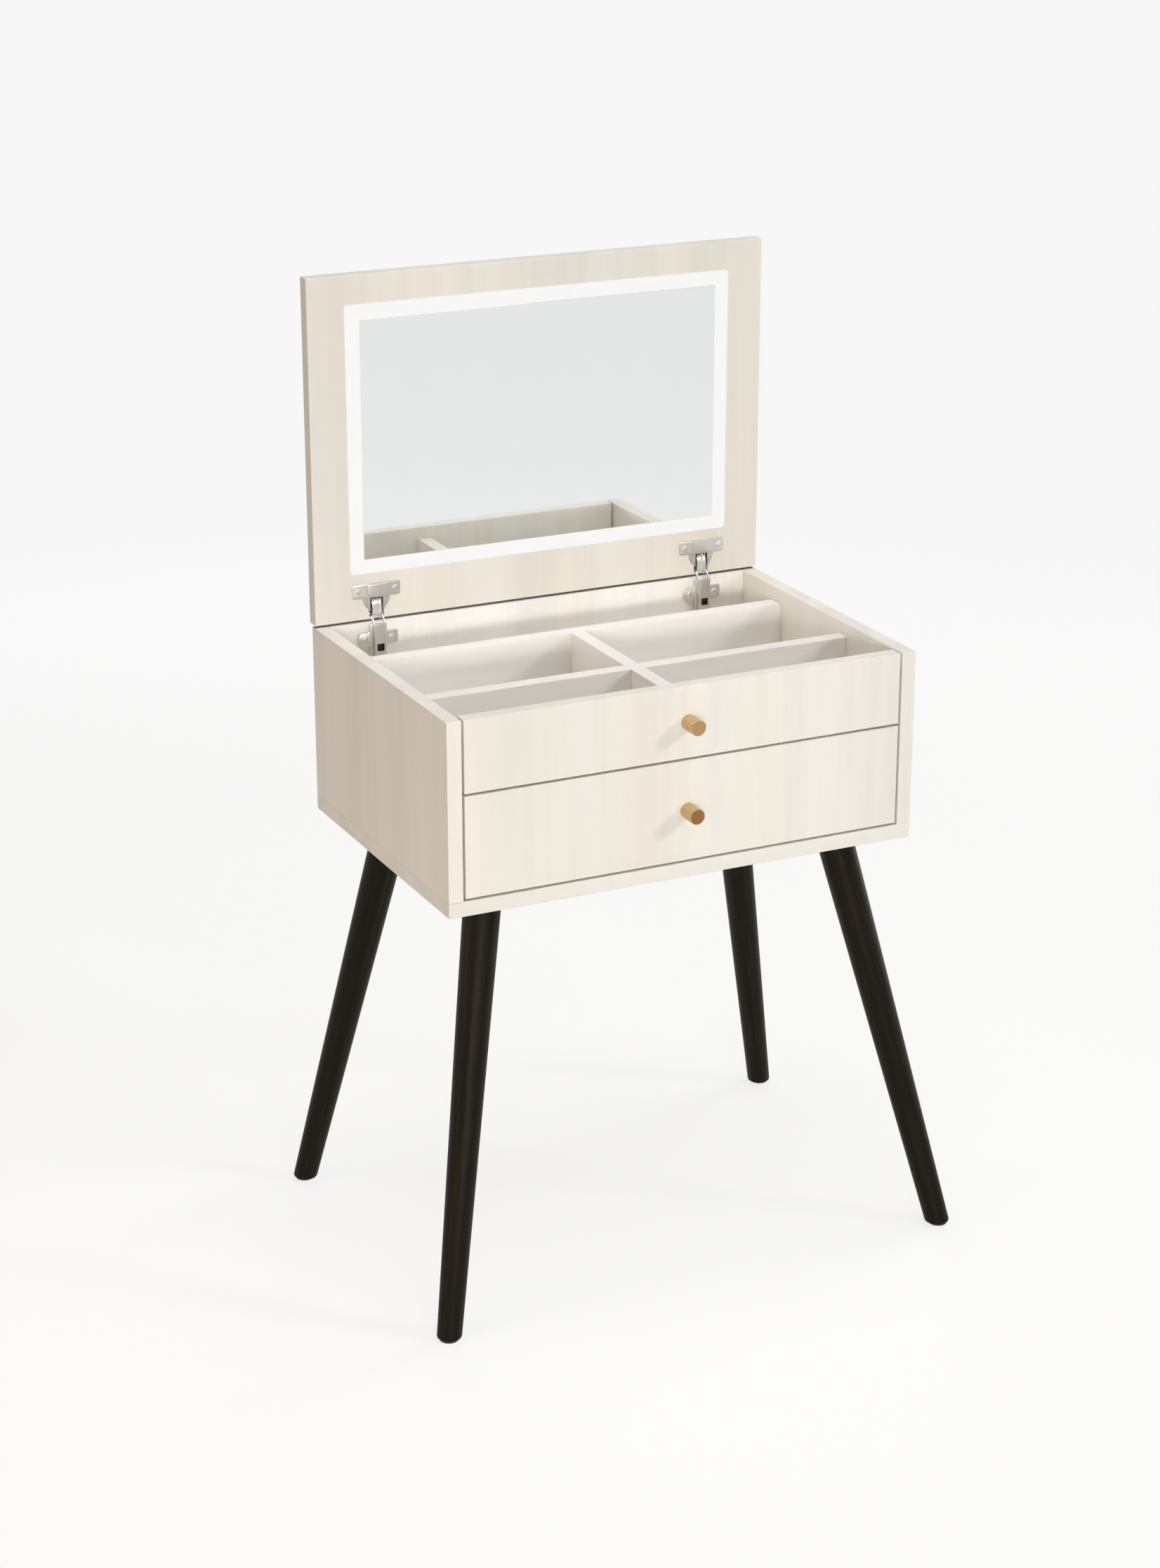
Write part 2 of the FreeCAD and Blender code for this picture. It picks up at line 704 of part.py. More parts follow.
# Knobs, each held by a screw from behind its front board
def knob(name, low, high):
    """A plain turned knob, its screw and the stepped hole for that screw in the front."""
    height = f"(({low}) + ({high})) / 2"
    bore = f"{size('knob_screw_radius')} + {size('hole_clearance')}"
    reach = f"{size('knob_screw_reach')} + {size('hole_clearance')}"
    edge = size("knob_chamfer")
    radius = size("knob_radius")
    length = size("knob_length")
    profile = ((bore, "0"), (radius, "0"), (radius, f"{length} - {edge}"),
               (f"{radius} - {edge}", length), ("0", length), ("0", reach), (bore, reach))
    body = turned(name, profile)
    body.Placement = FreeCAD.Placement(FreeCAD.Vector(),
                                       FreeCAD.Rotation(FreeCAD.Vector(1, 0, 0), 90))
    body.setExpression("Placement.Base.y", at("front"))
    body.setExpression("Placement.Base.z", height)
    head_span = (f"{at('behind_front')} - {size('knob_screw_head_height')}", at("behind_front"))
    shank_span = (f"{at('front')} - {size('knob_screw_reach')}", at("behind_front"))
    shank = rod(f"{name}_screw_shank", size("knob_screw_radius"), "0", shank_span, height)
    head = rod(f"{name}_screw_head", size("knob_screw_head_radius"), "0", head_span, height)
    room = size("hole_clearance")
    shank_hole = rod(f"{name}_shank_hole", bore, "0", grown(shank_span, room), height)
    head_hole = rod(f"{name}_head_hole", f"{size('knob_screw_head_radius')} + {room}", "0",
                    (head_span[0], f"{head_span[1]} + {PASS}"), height)
    keep(body, joined(f"{name}_screw", [shank, head]))
    return joined(f"{name}_hole", [shank_hole, head_hole])


DRAWER_FRONT_TALL = (at("drawer_front_low"), at("drawer_front_high"))
UPPER_FRONT_TALL = (at("tray_low"), at("top"))
upper_knob_hole = knob("upper_knob", *UPPER_FRONT_TALL)
drawer_knob_hole = knob("drawer_knob", *DRAWER_FRONT_TALL)

# Lid hinges: plates and arms on the back board, cups and links in the lid, pins between
ear_low = f"{at('pin_z')} - {size('knuckle_radius')}"
ear_high = f"{at('pin_z')} + {size('knuckle_radius')}"
ear_front = f"{at('arm_rear')} - {size('ear_width')}"
hinge_pins = []
plate_screws = []
cup_screws = []
lid_hinge_cuts = []
for side, sign in SIDES.items():
    middle = f"{sign} * {at('hinge_x')}"
    room = size("hole_clearance")
    arm_wide = about(middle, size("arm_width"))
    inside_wide = grown(arm_wide, f"-{size('arm_wall')}")

    # Plate: two wings for its screws and a block that carries the arm
    wing_blank = slab(f"{side}_plate_wing_blank", about(middle, size("plate_length")),
                      (at("plate_face"), at("back_inner")),
                      about(at("plate_z"), size("plate_width")))
    wing_round = rounded(f"{side}_plate_wing_round", wing_blank, value(size("plate_corner")),
                         runs_along("y"))
    wings = rounded(f"{side}_plate_wings", wing_round, value(size("hinge_edge")),
                    lies_at("y", at("plate_face")))
    block = slab(f"{side}_plate_block", grown(inside_wide, f"-{size('block_side_gap')}"),
                 (f"{at('arm_face')} + {size('arm_wall')}", at("back_inner")),
                 (at("arm_low"), at("arm_high")))
    side_plate_screws = []
    for index, place in enumerate(about(middle, size("plate_screw_spacing"))):
        side_plate_screws.append(
            screw(f"{side}_plate_screw_{index}", place,
                  (at("plate_face"), f"{at('plate_face')} + {size('screw_grip')}"),
                  at("plate_z"), head_at_high=False))
    plate_screws.extend(side_plate_screws)
    slot_wide = about(middle, size("arm_slot"))
    slot_tall = about(f"{at('plate_z')} - {size('arm_slot_drop')}", size("arm_slot"))
    pocket = slab(f"{side}_plate_pocket", slot_wide,
                  (at("arm_face"), f"{at('arm_face')} + {size('arm_wall')}"
                                   f" + {size('arm_slot_depth')}"), slot_tall)
    keep(cut(f"{side}_hinge_plate", joined(f"{side}_plate", [wings, block]),
             [pocket, group(f"{side}_plate_holes", side_plate_screws)]))

    # Arm: a channel with a slot, whose walls rise into two ears round the pin
    pin_wide = grown(arm_wide, size("hinge_pin_overhang"))
    channel_blank = slab(f"{side}_arm_channel_blank", arm_wide, (at("arm_face"), at("arm_rear")),
                         (at("arm_low"), at("arm_high")))
    channel = rounded(f"{side}_arm_channel", channel_blank, value(size("arm_wall")),
                      lies_at("y", at("arm_face"), "z"))
    riser = slab(f"{side}_arm_riser", arm_wide, (ear_front, at("arm_rear")),
                 (f"{at('arm_high')} - {PASS}", ear_high))
    reach = slab(f"{side}_arm_reach", arm_wide, (ear_front, at("pin_y")), (ear_low, ear_high))
    eye = rod(f"{side}_arm_eye", size("knuckle_radius"), arm_wide, at("pin_y"), at("pin_z"))
    hollow = slab(f"{side}_arm_hollow", inside_wide,
                  (f"{at('arm_face')} + {size('arm_wall')}", f"{at('lid_back')}"),
                  (f"{at('arm_low')} - {PASS}", f"{ear_high} + {PASS}"))
    slot = slab(f"{side}_arm_slot", slot_wide,
                (f"{at('arm_face')} - {PASS}", f"{at('arm_face')} + {size('arm_wall')} + {PASS}"),
                slot_tall)
    pin_bore = rod(f"{side}_pin_bore", f"{size('hinge_pin_radius')} + {size('pin_clearance')}",
                   pin_wide, at("pin_y"), at("pin_z"))
    keep(cut(f"{side}_hinge_arm", joined(f"{side}_arm", [channel, riser, reach, eye]),
             [hollow, slot, pin_bore]))
    hinge_pins.append(rod(f"{side}_hinge_pin", size("hinge_pin_radius"), pin_wide,
                          at("pin_y"), at("pin_z")))

    # Cup and flange, let into the lid, with a notch to the lid's edge for the ears
    cup_deep = (at("lid_face"), f"{at('lid_face')} + {size('cup_depth')}")
    cup_outside = rod(f"{side}_cup_outside", size("cup_radius"), middle, cup_deep, at("cup_z"))
    cup_inside = rod(f"{side}_cup_inside", f"{size('cup_radius')} - {size('cup_wall')}", middle,
                     (f"{at('lid_face')} - {PASS}", at("cup_floor")), at("cup_z"))
    cup_hole = rod(f"{side}_cup_hole", f"{size('cup_radius')} + {room}", middle,
                   (f"{at('lid_face')} - {PASS}", f"{cup_deep[1]} + {room}"), at("cup_z"))
    notch = slab(f"{side}_notch", about(middle, size("notch_width")),
                 (f"{at('flange_face')} - {PASS}", f"{at('lid_face')} + {size('notch_depth')}"),
                 (f"{at('lid_low')} - {PASS}", f"{at('lid_low')} + {size('notch_length')}"))
    flange_deep = (at("flange_face"), at("lid_face"))
    flange_blank = slab(f"{side}_cup_flange_blank", about(middle, size("flange_length")),
                        flange_deep, about(at("flange_z"), size("flange_width")))
    flange_round = rounded(f"{side}_cup_flange_round", flange_blank,
                           value(size("flange_corner")), runs_along("y"))
    flange = rounded(f"{side}_cup_flange", flange_round, value(size("hinge_edge")),
                     lies_at("y", at("flange_face")))
    rim_disc = rod(f"{side}_cup_rim_disc", size("cup_radius"), middle, flange_deep, at("cup_z"))
    below_flange = slab(f"{side}_below_flange", about(middle, size("flange_length")),
                        (f"{at('flange_face')} - {PASS}", at("cup_floor")),
                        (at("lid_low"), at("link_top")))
    mouth_rod = rod(f"{side}_cup_mouth_rod", f"{size('cup_radius')} - {size('cup_wall')}", middle,
                    (f"{at('flange_face')} - {PASS}", at("cup_floor")), at("cup_z"))
    mouth = shared(f"{side}_cup_mouth", mouth_rod, below_flange)
    cap_blank = slab(f"{side}_cup_cap_blank", about(middle, size("cap_width")),
                     (f"{at('flange_face')} - {size('cap_rise')}", at("lid_face")),
                     about(at("flange_z"), size("flange_width")))
    cap_round = rounded(f"{side}_cup_cap_round", cap_blank, value(size("cap_corner")),
                        lies_at("z", at("link_top"), "y"))
    cap = rounded(f"{side}_cup_cap", cap_round, value(size("flange_thickness")) / 2,
                  lies_at("y", f"{at('flange_face')} - {size('cap_rise')}"))
    side_cup_screws = []
    for index, place in enumerate(about(middle, size("flange_screw_spacing"))):
        side_cup_screws.append(
            screw(f"{side}_cup_screw_{index}", place,
                  (at("flange_face"), f"{at('flange_face')} + {size('screw_grip')}"),
                  at("flange_z"), head_at_high=False))
    cup_screws.extend(side_cup_screws)
    shell = cut(f"{side}_cup_shell", cup_outside, [cup_inside])
    face_plate = joined(f"{side}_cup_face", [shell, flange, rim_disc, cap])
    keep(cut(f"{side}_hinge_cup", face_plate,
             [mouth, notch, group(f"{side}_cup_holes", side_cup_screws)]))
    lid_hinge_cuts.append(joined(f"{side}_lid_hinge_cut", [cup_hole, notch]))

    # Link: stands on the cup's floor and turns on the pin between the ears
    link_wide = about(middle, size("link_width"))
    link_low = f"{at('pin_z')} - {size('link_proud')}"
    strap = slab(f"{side}_link_strap", link_wide,
                 (at("link_face"), f"{at('link_face')} + {size('link_thickness')}"),
                 (link_low, at("link_top")))
    neck = slab(f"{side}_link_neck", link_wide, (at("link_face"), at("pin_y")),
                (link_low, ear_high))
    foot = slab(f"{side}_link_foot", link_wide, (at("link_face"), at("cup_floor")),
                (f"{at('link_top')} - {size('link_foot')}", at("link_top")))
    knuckle = rod(f"{side}_link_knuckle", size("knuckle_radius"), link_wide,
                  at("pin_y"), at("pin_z"))
    keep(cut(f"{side}_hinge_link", joined(f"{side}_link", [strap, neck, foot, knuckle]),
             [pin_bore]))
hinge_pin_set = group("hinge_pins", hinge_pins)
plate_screw_set = group("hinge_plate_screws", plate_screws)
cup_screw_set = group("hinge_cup_screws", cup_screws)
keep(hinge_pin_set, plate_screw_set, cup_screw_set)

# Case boards
bottom = board("bottom_blank", WIDE, CASE_DEEP, (at("underside"), at("case_floor")))
keep(cut("bottom_panel", bottom, [panel_dowel_holes, leg_bolt_hole_set, tee_nut_hole_set]))
for side, sign in SIDES.items():
    side_board = board(f"{side}_side_blank", sided(sign, at("inner_right"), at("right")),
                      CASE_DEEP, CASE_TALL)
    keep(cut(f"{side}_side_panel", side_board,
             [panel_dowel_holes, tray_peg_holes, case_rail_screw_set]))
back_board = board("back_blank", INNER_WIDE, (at("back_inner"), at("back")), CASE_TALL)
keep(cut("back_panel", back_board, [tray_peg_holes, plate_screw_set]))
upper_front = board("upper_front_blank", FRONT_WIDE, FRONT_DEEP, UPPER_FRONT_TALL)
keep(cut("upper_front", upper_front, [tray_peg_holes, upper_knob_hole]))
tray = slab("tray_blank", INNER_WIDE, TRAY_DEEP, (at("tray_low"), at("tray_floor")))
keep(cut("tray_floor", tray, [tray_peg_holes]))

# Dividers: two across the tray and one from front to back, lapped where they cross
DIVIDER_TALL = (at("tray_floor"), at("divider_top"))
DIVIDER_WIDE = about("0", size("divider_board"))
lap_room = size("lap_clearance")
rear_blank = slab("rear_divider_blank", INNER_WIDE, (at("rear_front"), at("rear_back")),
                  DIVIDER_TALL)
divider_end = value(at("inner_right"))
divider_edge = value(at("divider_top"))


def top_corner(edge):
    """True for the rear divider's two upper end edges."""
    box = edge.BoundBox
    at_end = abs(abs(box.XMin) - divider_end) < 0.01 and box.XLength < 0.01
    return at_end and box.ZLength < 0.01 and abs(box.ZMax - divider_edge) < 0.01


def top_rim(edge):
    """True for the edges that run along the rear divider's top and round its corners."""
    box = edge.BoundBox
    return box.YLength < 0.01 and box.XLength > 0.01 and box.ZMax > divider_edge - 0.01


rear_shape = rounded("rear_divider_round", rear_blank, value(size("divider_corner")), top_corner)
rear_eased = rounded("rear_divider_eased", rear_shape, value(size("edge_round")), top_rim)
keep(cut("rear_divider", rear_eased, [tray_peg_holes]))
middle_blank = board("middle_divider_blank", INNER_WIDE, (at("middle_front"), at("middle_back")),
                    DIVIDER_TALL)
middle_slot = slab("middle_divider_slot", grown(DIVIDER_WIDE, lap_room),
                   grown((at("middle_front"), at("middle_back")), PASS),
                   (at("divider_lap"), f"{at('divider_top')} + {PASS}"))
keep(cut("middle_divider", middle_blank, [middle_slot, tray_peg_holes]))
centre_blank = board("centre_divider_blank", DIVIDER_WIDE, (at("behind_front"), at("rear_front")),
                    DIVIDER_TALL)
centre_slot = slab("centre_divider_slot", grown(DIVIDER_WIDE, PASS),
                   grown((at("middle_front"), at("middle_back")), lap_room),
                   (f"{at('tray_floor')} - {PASS}", f"{at('divider_lap')}"))
keep(cut("centre_divider", centre_blank, [centre_slot, tray_peg_holes]))

# Lit mirror: a pane inside a frosted frame, with a light strip in a groove behind the frame
LIT_WIDE = (f"-{at('lit_right')}", at("lit_right"))
LIT_TALL = (at("lit_low"), at("lit_high"))


def inset(span, amount):
    """A span drawn in at both ends."""
    return grown(span, f"-({amount})")


def frame_ring(label, outside, inside, y):
    """A flat ring between two insets from the lit frame's outer edge, its corners rounded."""
    block = slab(f"{label}_block", inset(LIT_WIDE, outside), y, inset(LIT_TALL, outside))
    outer = rounded(f"{label}_outer", block, value(size("lit_corner")), runs_along("y"))
    inner = slab(f"{label}_inner", inset(LIT_WIDE, inside), grown(y, PASS),
                 inset(LIT_TALL, inside))
    return cut(label, outer, [inner])


groove_side = f"({size('band')} - {size('groove_width')}) / 2"
strip_side = f"({size('band')} - {size('strip_width')}) / 2"
frame_blank = frame_ring("light_frame_blank", "0", size("band"),
                         (at("lit_face"), at("recess_floor")))
keep(rounded("light_frame", frame_blank, value(size("pane_edge")),
             lies_at("y", at("lit_face"))))
keep(frame_ring("light_strip", strip_side, f"{size('band')} - {strip_side}",
                (f"{at('groove_floor')} - {size('strip_thickness')}", at("groove_floor"))))
PANE_WIDE = inset(LIT_WIDE, at("pane_inset"))
PANE_TALL = inset(LIT_TALL, at("pane_inset"))
pane = slab("mirror_glass_cut", PANE_WIDE, (at("lit_face"), at("glass_back")), PANE_TALL)
keep(rounded("mirror_glass", pane, value(size("pane_edge")), lies_at("y", at("lit_face"))))
TOUCH_WIDE = about("0", size("touch_length"))
TOUCH_TALL = (at("touch_low"), f"{at('touch_low')} + {size('touch_width')}")
keep(slab("touch_switch", TOUCH_WIDE,
          (at("glass_back"), f"{at('glass_back')} + {size('touch_thickness')}"), TOUCH_TALL))
backing = slab("mirror_backing_blank", PANE_WIDE, (at("glass_back"), at("recess_floor")),
               PANE_TALL)
touch_room = slab("touch_room", grown(TOUCH_WIDE, size("pane_gap")),
                  grown((at("glass_back"), at("recess_floor")), PASS),
                  grown(TOUCH_TALL, size("pane_gap")))
keep(cut("mirror_backing", backing, [touch_room]))

# Power behind the mirror: battery, control board and a charging socket in the lid's edge
BATTERY_WIDE = (f"{at('battery_right')} - {size('battery_length')}", at("battery_right"))
BATTERY_TALL = (at("battery_low"), f"{at('battery_low')} + {size('battery_width')}")
CONTROL_WIDE = (f"{at('control_right')} - {size('control_length')}", at("control_right"))
CONTROL_TALL = (at("control_low"), f"{at('control_low')} + {size('control_width')}")
POCKET_DEEP = (f"{at('recess_floor')} - {PASS}", at("pocket_floor"))
keep(slab("battery_pack", BATTERY_WIDE,
          (f"{at('pocket_floor')} - {size('battery_thickness')}", at("pocket_floor")),
          BATTERY_TALL))
keep(slab("control_board", CONTROL_WIDE,
          (f"{at('pocket_floor')} - {size('control_thickness')}", at("pocket_floor")),
          CONTROL_TALL))
pocket_room = size("pocket_room")
battery_pocket = slab("battery_pocket", grown(BATTERY_WIDE, pocket_room), POCKET_DEEP,
                      grown(BATTERY_TALL, pocket_room))
control_pocket = slab("control_pocket", grown(CONTROL_WIDE, pocket_room), POCKET_DEEP,
                      grown(CONTROL_TALL, pocket_room))
socket_flange = rod("socket_flange", size("socket_flange_radius"),
                    (at("right"), f"{at('right')} + {size('socket_flange_height')}"),
                    at("socket_y"), at("control_middle"))
socket_span = (f"{at('right')} - {size('socket_length')}", at("right"))
socket_barrel = rod("socket_barrel", size("socket_radius"), socket_span,
                    at("socket_y"), at("control_middle"))
socket_mouth = rod("socket_mouth", size("wire_radius"),
                   (f"{at('right')} - {size('socket_length')} / 2", f"{at('right')} + 2 * {PASS}"),
                   at("socket_y"), at("control_middle"))
keep(cut("charging_socket", joined("socket_body", [socket_flange, socket_barrel]),
         [socket_mouth]))
socket_hole = rod("socket_hole", f"{size('socket_radius')} + {size('hole_clearance')}",
                  (f"{socket_span[0]} - {size('hole_clearance')}", f"{at('right')} + {PASS}"),
                  at("socket_y"), at("control_middle"))
wire_hole = rod("wire_hole", size("wire_radius"), (CONTROL_WIDE[1], at("right")),
                at("socket_y"), at("control_middle"))

# Lid board, with the seats for all that it carries
lid_blank = board("lid_blank", WIDE, (at("lid_face"), at("lid_back")), (at("lid_low"), at("lid_high")))
recess_block = slab("lit_recess_block", grown(LIT_WIDE, size("pane_gap")),
                    (f"{at('lid_face')} - {PASS}", at("recess_floor")),
                    grown(LIT_TALL, size("pane_gap")))
recess = rounded("lit_recess", recess_block, value(f"{size('lit_corner')} + {size('pane_gap')}"),
                 runs_along("y"))
groove = frame_ring("light_groove", groove_side, f"{size('band')} - {groove_side}",
                    (f"{at('recess_floor')} - {PASS}", at("groove_floor")))
keep(cut("lid_panel", lid_blank, [recess, groove, battery_pocket, control_pocket, socket_hole,
                                  wire_hole, *lid_hinge_cuts, cup_screw_set]))

# Drawer box: sides and back behind the front, with a floor in grooves under the back
drawer_pegs = []
drawer_peg_holes = []
drawer_screws = []
DRAWER_DEEP = (at("behind_front"), at("drawer_rear"))
DRAWER_TALL = (at("drawer_low"), at("drawer_high"))
DRAWER_INNER_WIDE = (f"-{at('drawer_inner')}", at("drawer_inner"))
FLOOR_TALL = (at("drawer_floor_low"), at("drawer_floor_high"))
BACK_DEEP = (f"{at('drawer_rear')} - {size('drawer_board')}", at("drawer_rear"))
for side, sign in SIDES.items():
    column = f"{sign} * ({at('drawer_right')} - {size('drawer_board')} / 2)"
    heights = (f"{at('drawer_floor_high')} + {size('drawer_screw_margin')}",
               f"{at('drawer_high')} - {size('drawer_screw_margin')}")
    for index, height in enumerate(heights):
        peg, hole = peg_pair(f"{side}_drawer_peg_{index}", size("peg_radius"), column,
                             (f"{at('behind_front')} - {size('peg_in_face')}",
                              f"{at('behind_front')} + {size('peg_in_edge')}"), height)
        drawer_pegs.append(peg)
        drawer_peg_holes.append(hole)
        screw_span = sided(sign, f"{at('drawer_right')} - {size('drawer_screw_length')}",
                           at("drawer_right"))
        drawer_screws.append(screw(f"{side}_drawer_screw_{index}", screw_span,
                                   f"{at('drawer_rear')} - {size('drawer_board')} / 2", height,
                                   head_at_high=sign > 0))
drawer_peg_set = group("drawer_pegs", drawer_pegs)
drawer_peg_hole_set = group("drawer_peg_holes", drawer_peg_holes)
drawer_screw_set = group("drawer_screws", drawer_screws)
keep(drawer_peg_set, drawer_screw_set)
tongue = size("drawer_floor_tongue")
floor_groove = slab("drawer_floor_groove",
                    grown(DRAWER_INNER_WIDE, f"{tongue} + {size('hole_clearance')}"),
                    grown(DRAWER_DEEP, PASS), FLOOR_TALL)
keep(slab("drawer_floor", grown(DRAWER_INNER_WIDE, tongue), DRAWER_DEEP, FLOOR_TALL))
for side, sign in SIDES.items():
    plank = board(f"{side}_drawer_side_blank",
                 sided(sign, at("drawer_inner"), at("drawer_right")), DRAWER_DEEP, DRAWER_TALL)
    keep(cut(f"{side}_drawer_side", plank, [floor_groove, drawer_peg_hole_set, drawer_screw_set,
                                            drawer_rail_screw_set]))
drawer_back = board("drawer_back_blank", DRAWER_INNER_WIDE, BACK_DEEP,
                   (at("drawer_floor_high"), at("drawer_high")))
keep(cut("drawer_back", drawer_back, [drawer_screw_set]))
drawer_front = board("drawer_front_blank", FRONT_WIDE, FRONT_DEEP, DRAWER_FRONT_TALL)
keep(cut("drawer_front", drawer_front, [drawer_peg_hole_set, drawer_knob_hole]))


def check_and_export():
    """Stops on any failed feature, then writes each sub-part to its own file."""
    doc.recompute()
    failed = [item.Label for item in doc.Objects if {"Invalid", "Error"} & set(item.State)]
    if failed:
        raise RuntimeError(f"failed features: {failed}")
    for item in nodes:
        shape = item.Shape
        if shape.isNull() or not shape.isValid() or not shape.Solids:
            raise RuntimeError(f"bad shape: {item.Label}")
    os.makedirs("parts", exist_ok=True)
    for item in nodes:
        item.Shape.exportStep(f"parts/{item.Label}.step")
        box = item.Shape.BoundBox
        print(f"{item.Label}: {len(item.Shape.Solids)} solids, {item.Shape.Volume:.0f} mm3, "
              f"{box.XLength:.1f} x {box.YLength:.1f} x {box.ZLength:.1f}")
    print(len(nodes), "nodes")
    pivot = [value(at("pin_y")), value(at("pin_z"))]
    print("lid pivot Y, Z:", [round(number, 4) for number in pivot])


check_and_export()
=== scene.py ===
"""Looks of the vanity table: finishes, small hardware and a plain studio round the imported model."""
import json
import math

import bmesh
import bpy
from bpy.props import FloatProperty, FloatVectorProperty, PointerProperty
from bpy.types import Operator, Panel, PropertyGroup
from mathutils import Matrix, Vector

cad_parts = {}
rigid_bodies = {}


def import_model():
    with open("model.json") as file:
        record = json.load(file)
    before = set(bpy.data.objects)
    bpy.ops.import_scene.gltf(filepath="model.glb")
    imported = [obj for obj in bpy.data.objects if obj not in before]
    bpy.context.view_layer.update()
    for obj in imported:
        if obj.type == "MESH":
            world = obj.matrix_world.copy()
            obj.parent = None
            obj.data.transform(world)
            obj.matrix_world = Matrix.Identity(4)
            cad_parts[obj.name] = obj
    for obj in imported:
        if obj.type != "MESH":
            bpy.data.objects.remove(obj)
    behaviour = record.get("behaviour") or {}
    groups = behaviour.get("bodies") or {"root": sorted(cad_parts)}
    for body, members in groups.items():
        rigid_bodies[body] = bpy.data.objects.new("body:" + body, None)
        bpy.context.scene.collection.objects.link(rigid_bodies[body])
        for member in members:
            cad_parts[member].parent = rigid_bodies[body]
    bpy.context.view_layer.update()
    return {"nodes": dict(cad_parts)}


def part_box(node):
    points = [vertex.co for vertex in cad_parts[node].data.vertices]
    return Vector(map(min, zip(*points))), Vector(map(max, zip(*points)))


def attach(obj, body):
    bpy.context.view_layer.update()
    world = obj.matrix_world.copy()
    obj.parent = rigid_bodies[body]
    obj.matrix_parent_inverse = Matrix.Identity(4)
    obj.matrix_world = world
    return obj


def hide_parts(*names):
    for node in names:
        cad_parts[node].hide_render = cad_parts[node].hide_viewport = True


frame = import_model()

bl_info = {
    "name": "Vanity table looks",
    "version": (1, 0, 0),
    "blender": (4, 5, 0),
    "location": "View3D > Sidebar > Vanity",
    "description": "Finishes, hardware and a studio for a flip-top vanity table",
    "category": "Object",
}

SIDES = ("left", "right")
ENDS = ("front", "rear")
MILLIMETRE = 0.001
WHITE = (1.0, 1.0, 1.0)

# Points of a piece closer than this are one point, in metres
MERGE_DISTANCE = 1e-7
# Edges of a piece sharper than this stay crisp
CRISP_ANGLE = math.radians(35)


def rgb(red, green, blue):
    """An 8-bit display colour as the linear numbers that shaders use."""
    linear = []
    for level in (red, green, blue):
        share = level / 255
        linear.append(share / 12.92 if share <= 0.04045 else ((share + 0.055) / 1.055) ** 2.4)
    return tuple(linear)


def darker(colour, share):
    """A colour with each part reduced to a share of it."""
    return tuple(level * share for level in colour)


class BoardProps(PropertyGroup):
    """Colours of the laminated boards."""
    colour: FloatVectorProperty(
        name="Board colour", description="Warm white of the laminate", subtype="COLOR",
        size=3, min=0, max=1, default=rgb(239, 235, 227))
    # Painted shade: a greyer copy of the laminate stands in for the lesser light on the lid
    lid: FloatVectorProperty(
        name="Lid colour", description="Greyer copy of the laminate, painted shade for the lid", subtype="COLOR",
        size=3, min=0, max=1, default=rgb(232, 228, 219))
    # Painted light: a lighter, plainer copy of the laminate lifts the shade and the warm bounce light
    # on the inner faces
    inside: FloatVectorProperty(
        name="Inside colour", description="Lighter, plainer copy of the laminate for the trays, the drawer box and the back's inner face: painted light",
        subtype="COLOR", size=3, min=0, max=1, default=rgb(245, 242, 238))
    streak: FloatProperty(
        name="Streaks", description="How far the long streaks change the colour",
        subtype="FACTOR", min=0, max=0.3, default=0.03)
    # Painted shade: a dark colour on the case's rear top edge under the lid stands in for the shade
    # in the gap
    gap_shade: FloatVectorProperty(
        name="Gap shade", description="Painted shade on the case's rear top edge where the lid covers it",
        subtype="COLOR", size=3, min=0, max=1, default=rgb(84, 74, 62))
    roughness: FloatProperty(
        name="Roughness", description="Dullness of the laminate", subtype="FACTOR",
        min=0, max=1, default=0.68)


class LegProps(PropertyGroup):
    """Stain of the legs."""
    colour: FloatVectorProperty(
        name="Leg colour", description="Near-black stain", subtype="COLOR",
        size=3, min=0, max=1, default=rgb(21, 17, 8))
    grain: FloatVectorProperty(
        name="Grain colour", description="Paler wood that shows through the stain",
        subtype="COLOR", size=3, min=0, max=1, default=rgb(41, 35, 20))
    top_radius: FloatProperty(
        name="Top radius", description="Radius of a leg where it meets the case",
        unit="LENGTH", min=0.005, max=0.05, default=0.0224)


class KnobProps(PropertyGroup):
    """Wood of the two knobs."""
    early: FloatVectorProperty(
        name="Pale rings", description="Wood between the year rings", subtype="COLOR",
        size=3, min=0, max=1, default=rgb(203, 170, 120))
    late: FloatVectorProperty(
        name="Dark rings", description="Wood of the year rings", subtype="COLOR",
        size=3, min=0, max=1, default=rgb(184, 148, 98))
    # Partly real end grain, partly painted shade: the knobs' front ends are toned darker, the drawer
    # knob's far more
    upper_cut_end_and_shade: FloatVectorProperty(
        name="Upper end", description="How end grain and painted shade tone the upper knob's cut end",
        subtype="COLOR", size=3, min=0, max=1, default=rgb(223, 213, 203))
    lower_cut_end_and_shade: FloatVectorProperty(
        name="Lower end", description="How end grain and painted shade tone the drawer knob's cut end",
        subtype="COLOR", size=3, min=0, max=1, default=rgb(183, 147, 101))
    ring: FloatProperty(
        name="Ring width", description="Width of one year's growth", unit="LENGTH",
        min=0.0005, max=0.01, default=0.0019)


class LightProps(PropertyGroup):
    """Lit frame round the mirror."""
    colour: FloatVectorProperty(
        name="Light colour", description="Colour of the lit frame", subtype="COLOR",
        size=3, min=0, max=1, default=(0.99, 0.992, 1.0))
    strength: FloatProperty(
        name="Light strength", description="Brightness of the lit frame", subtype="FACTOR",
        min=0, max=5, default=0.62)


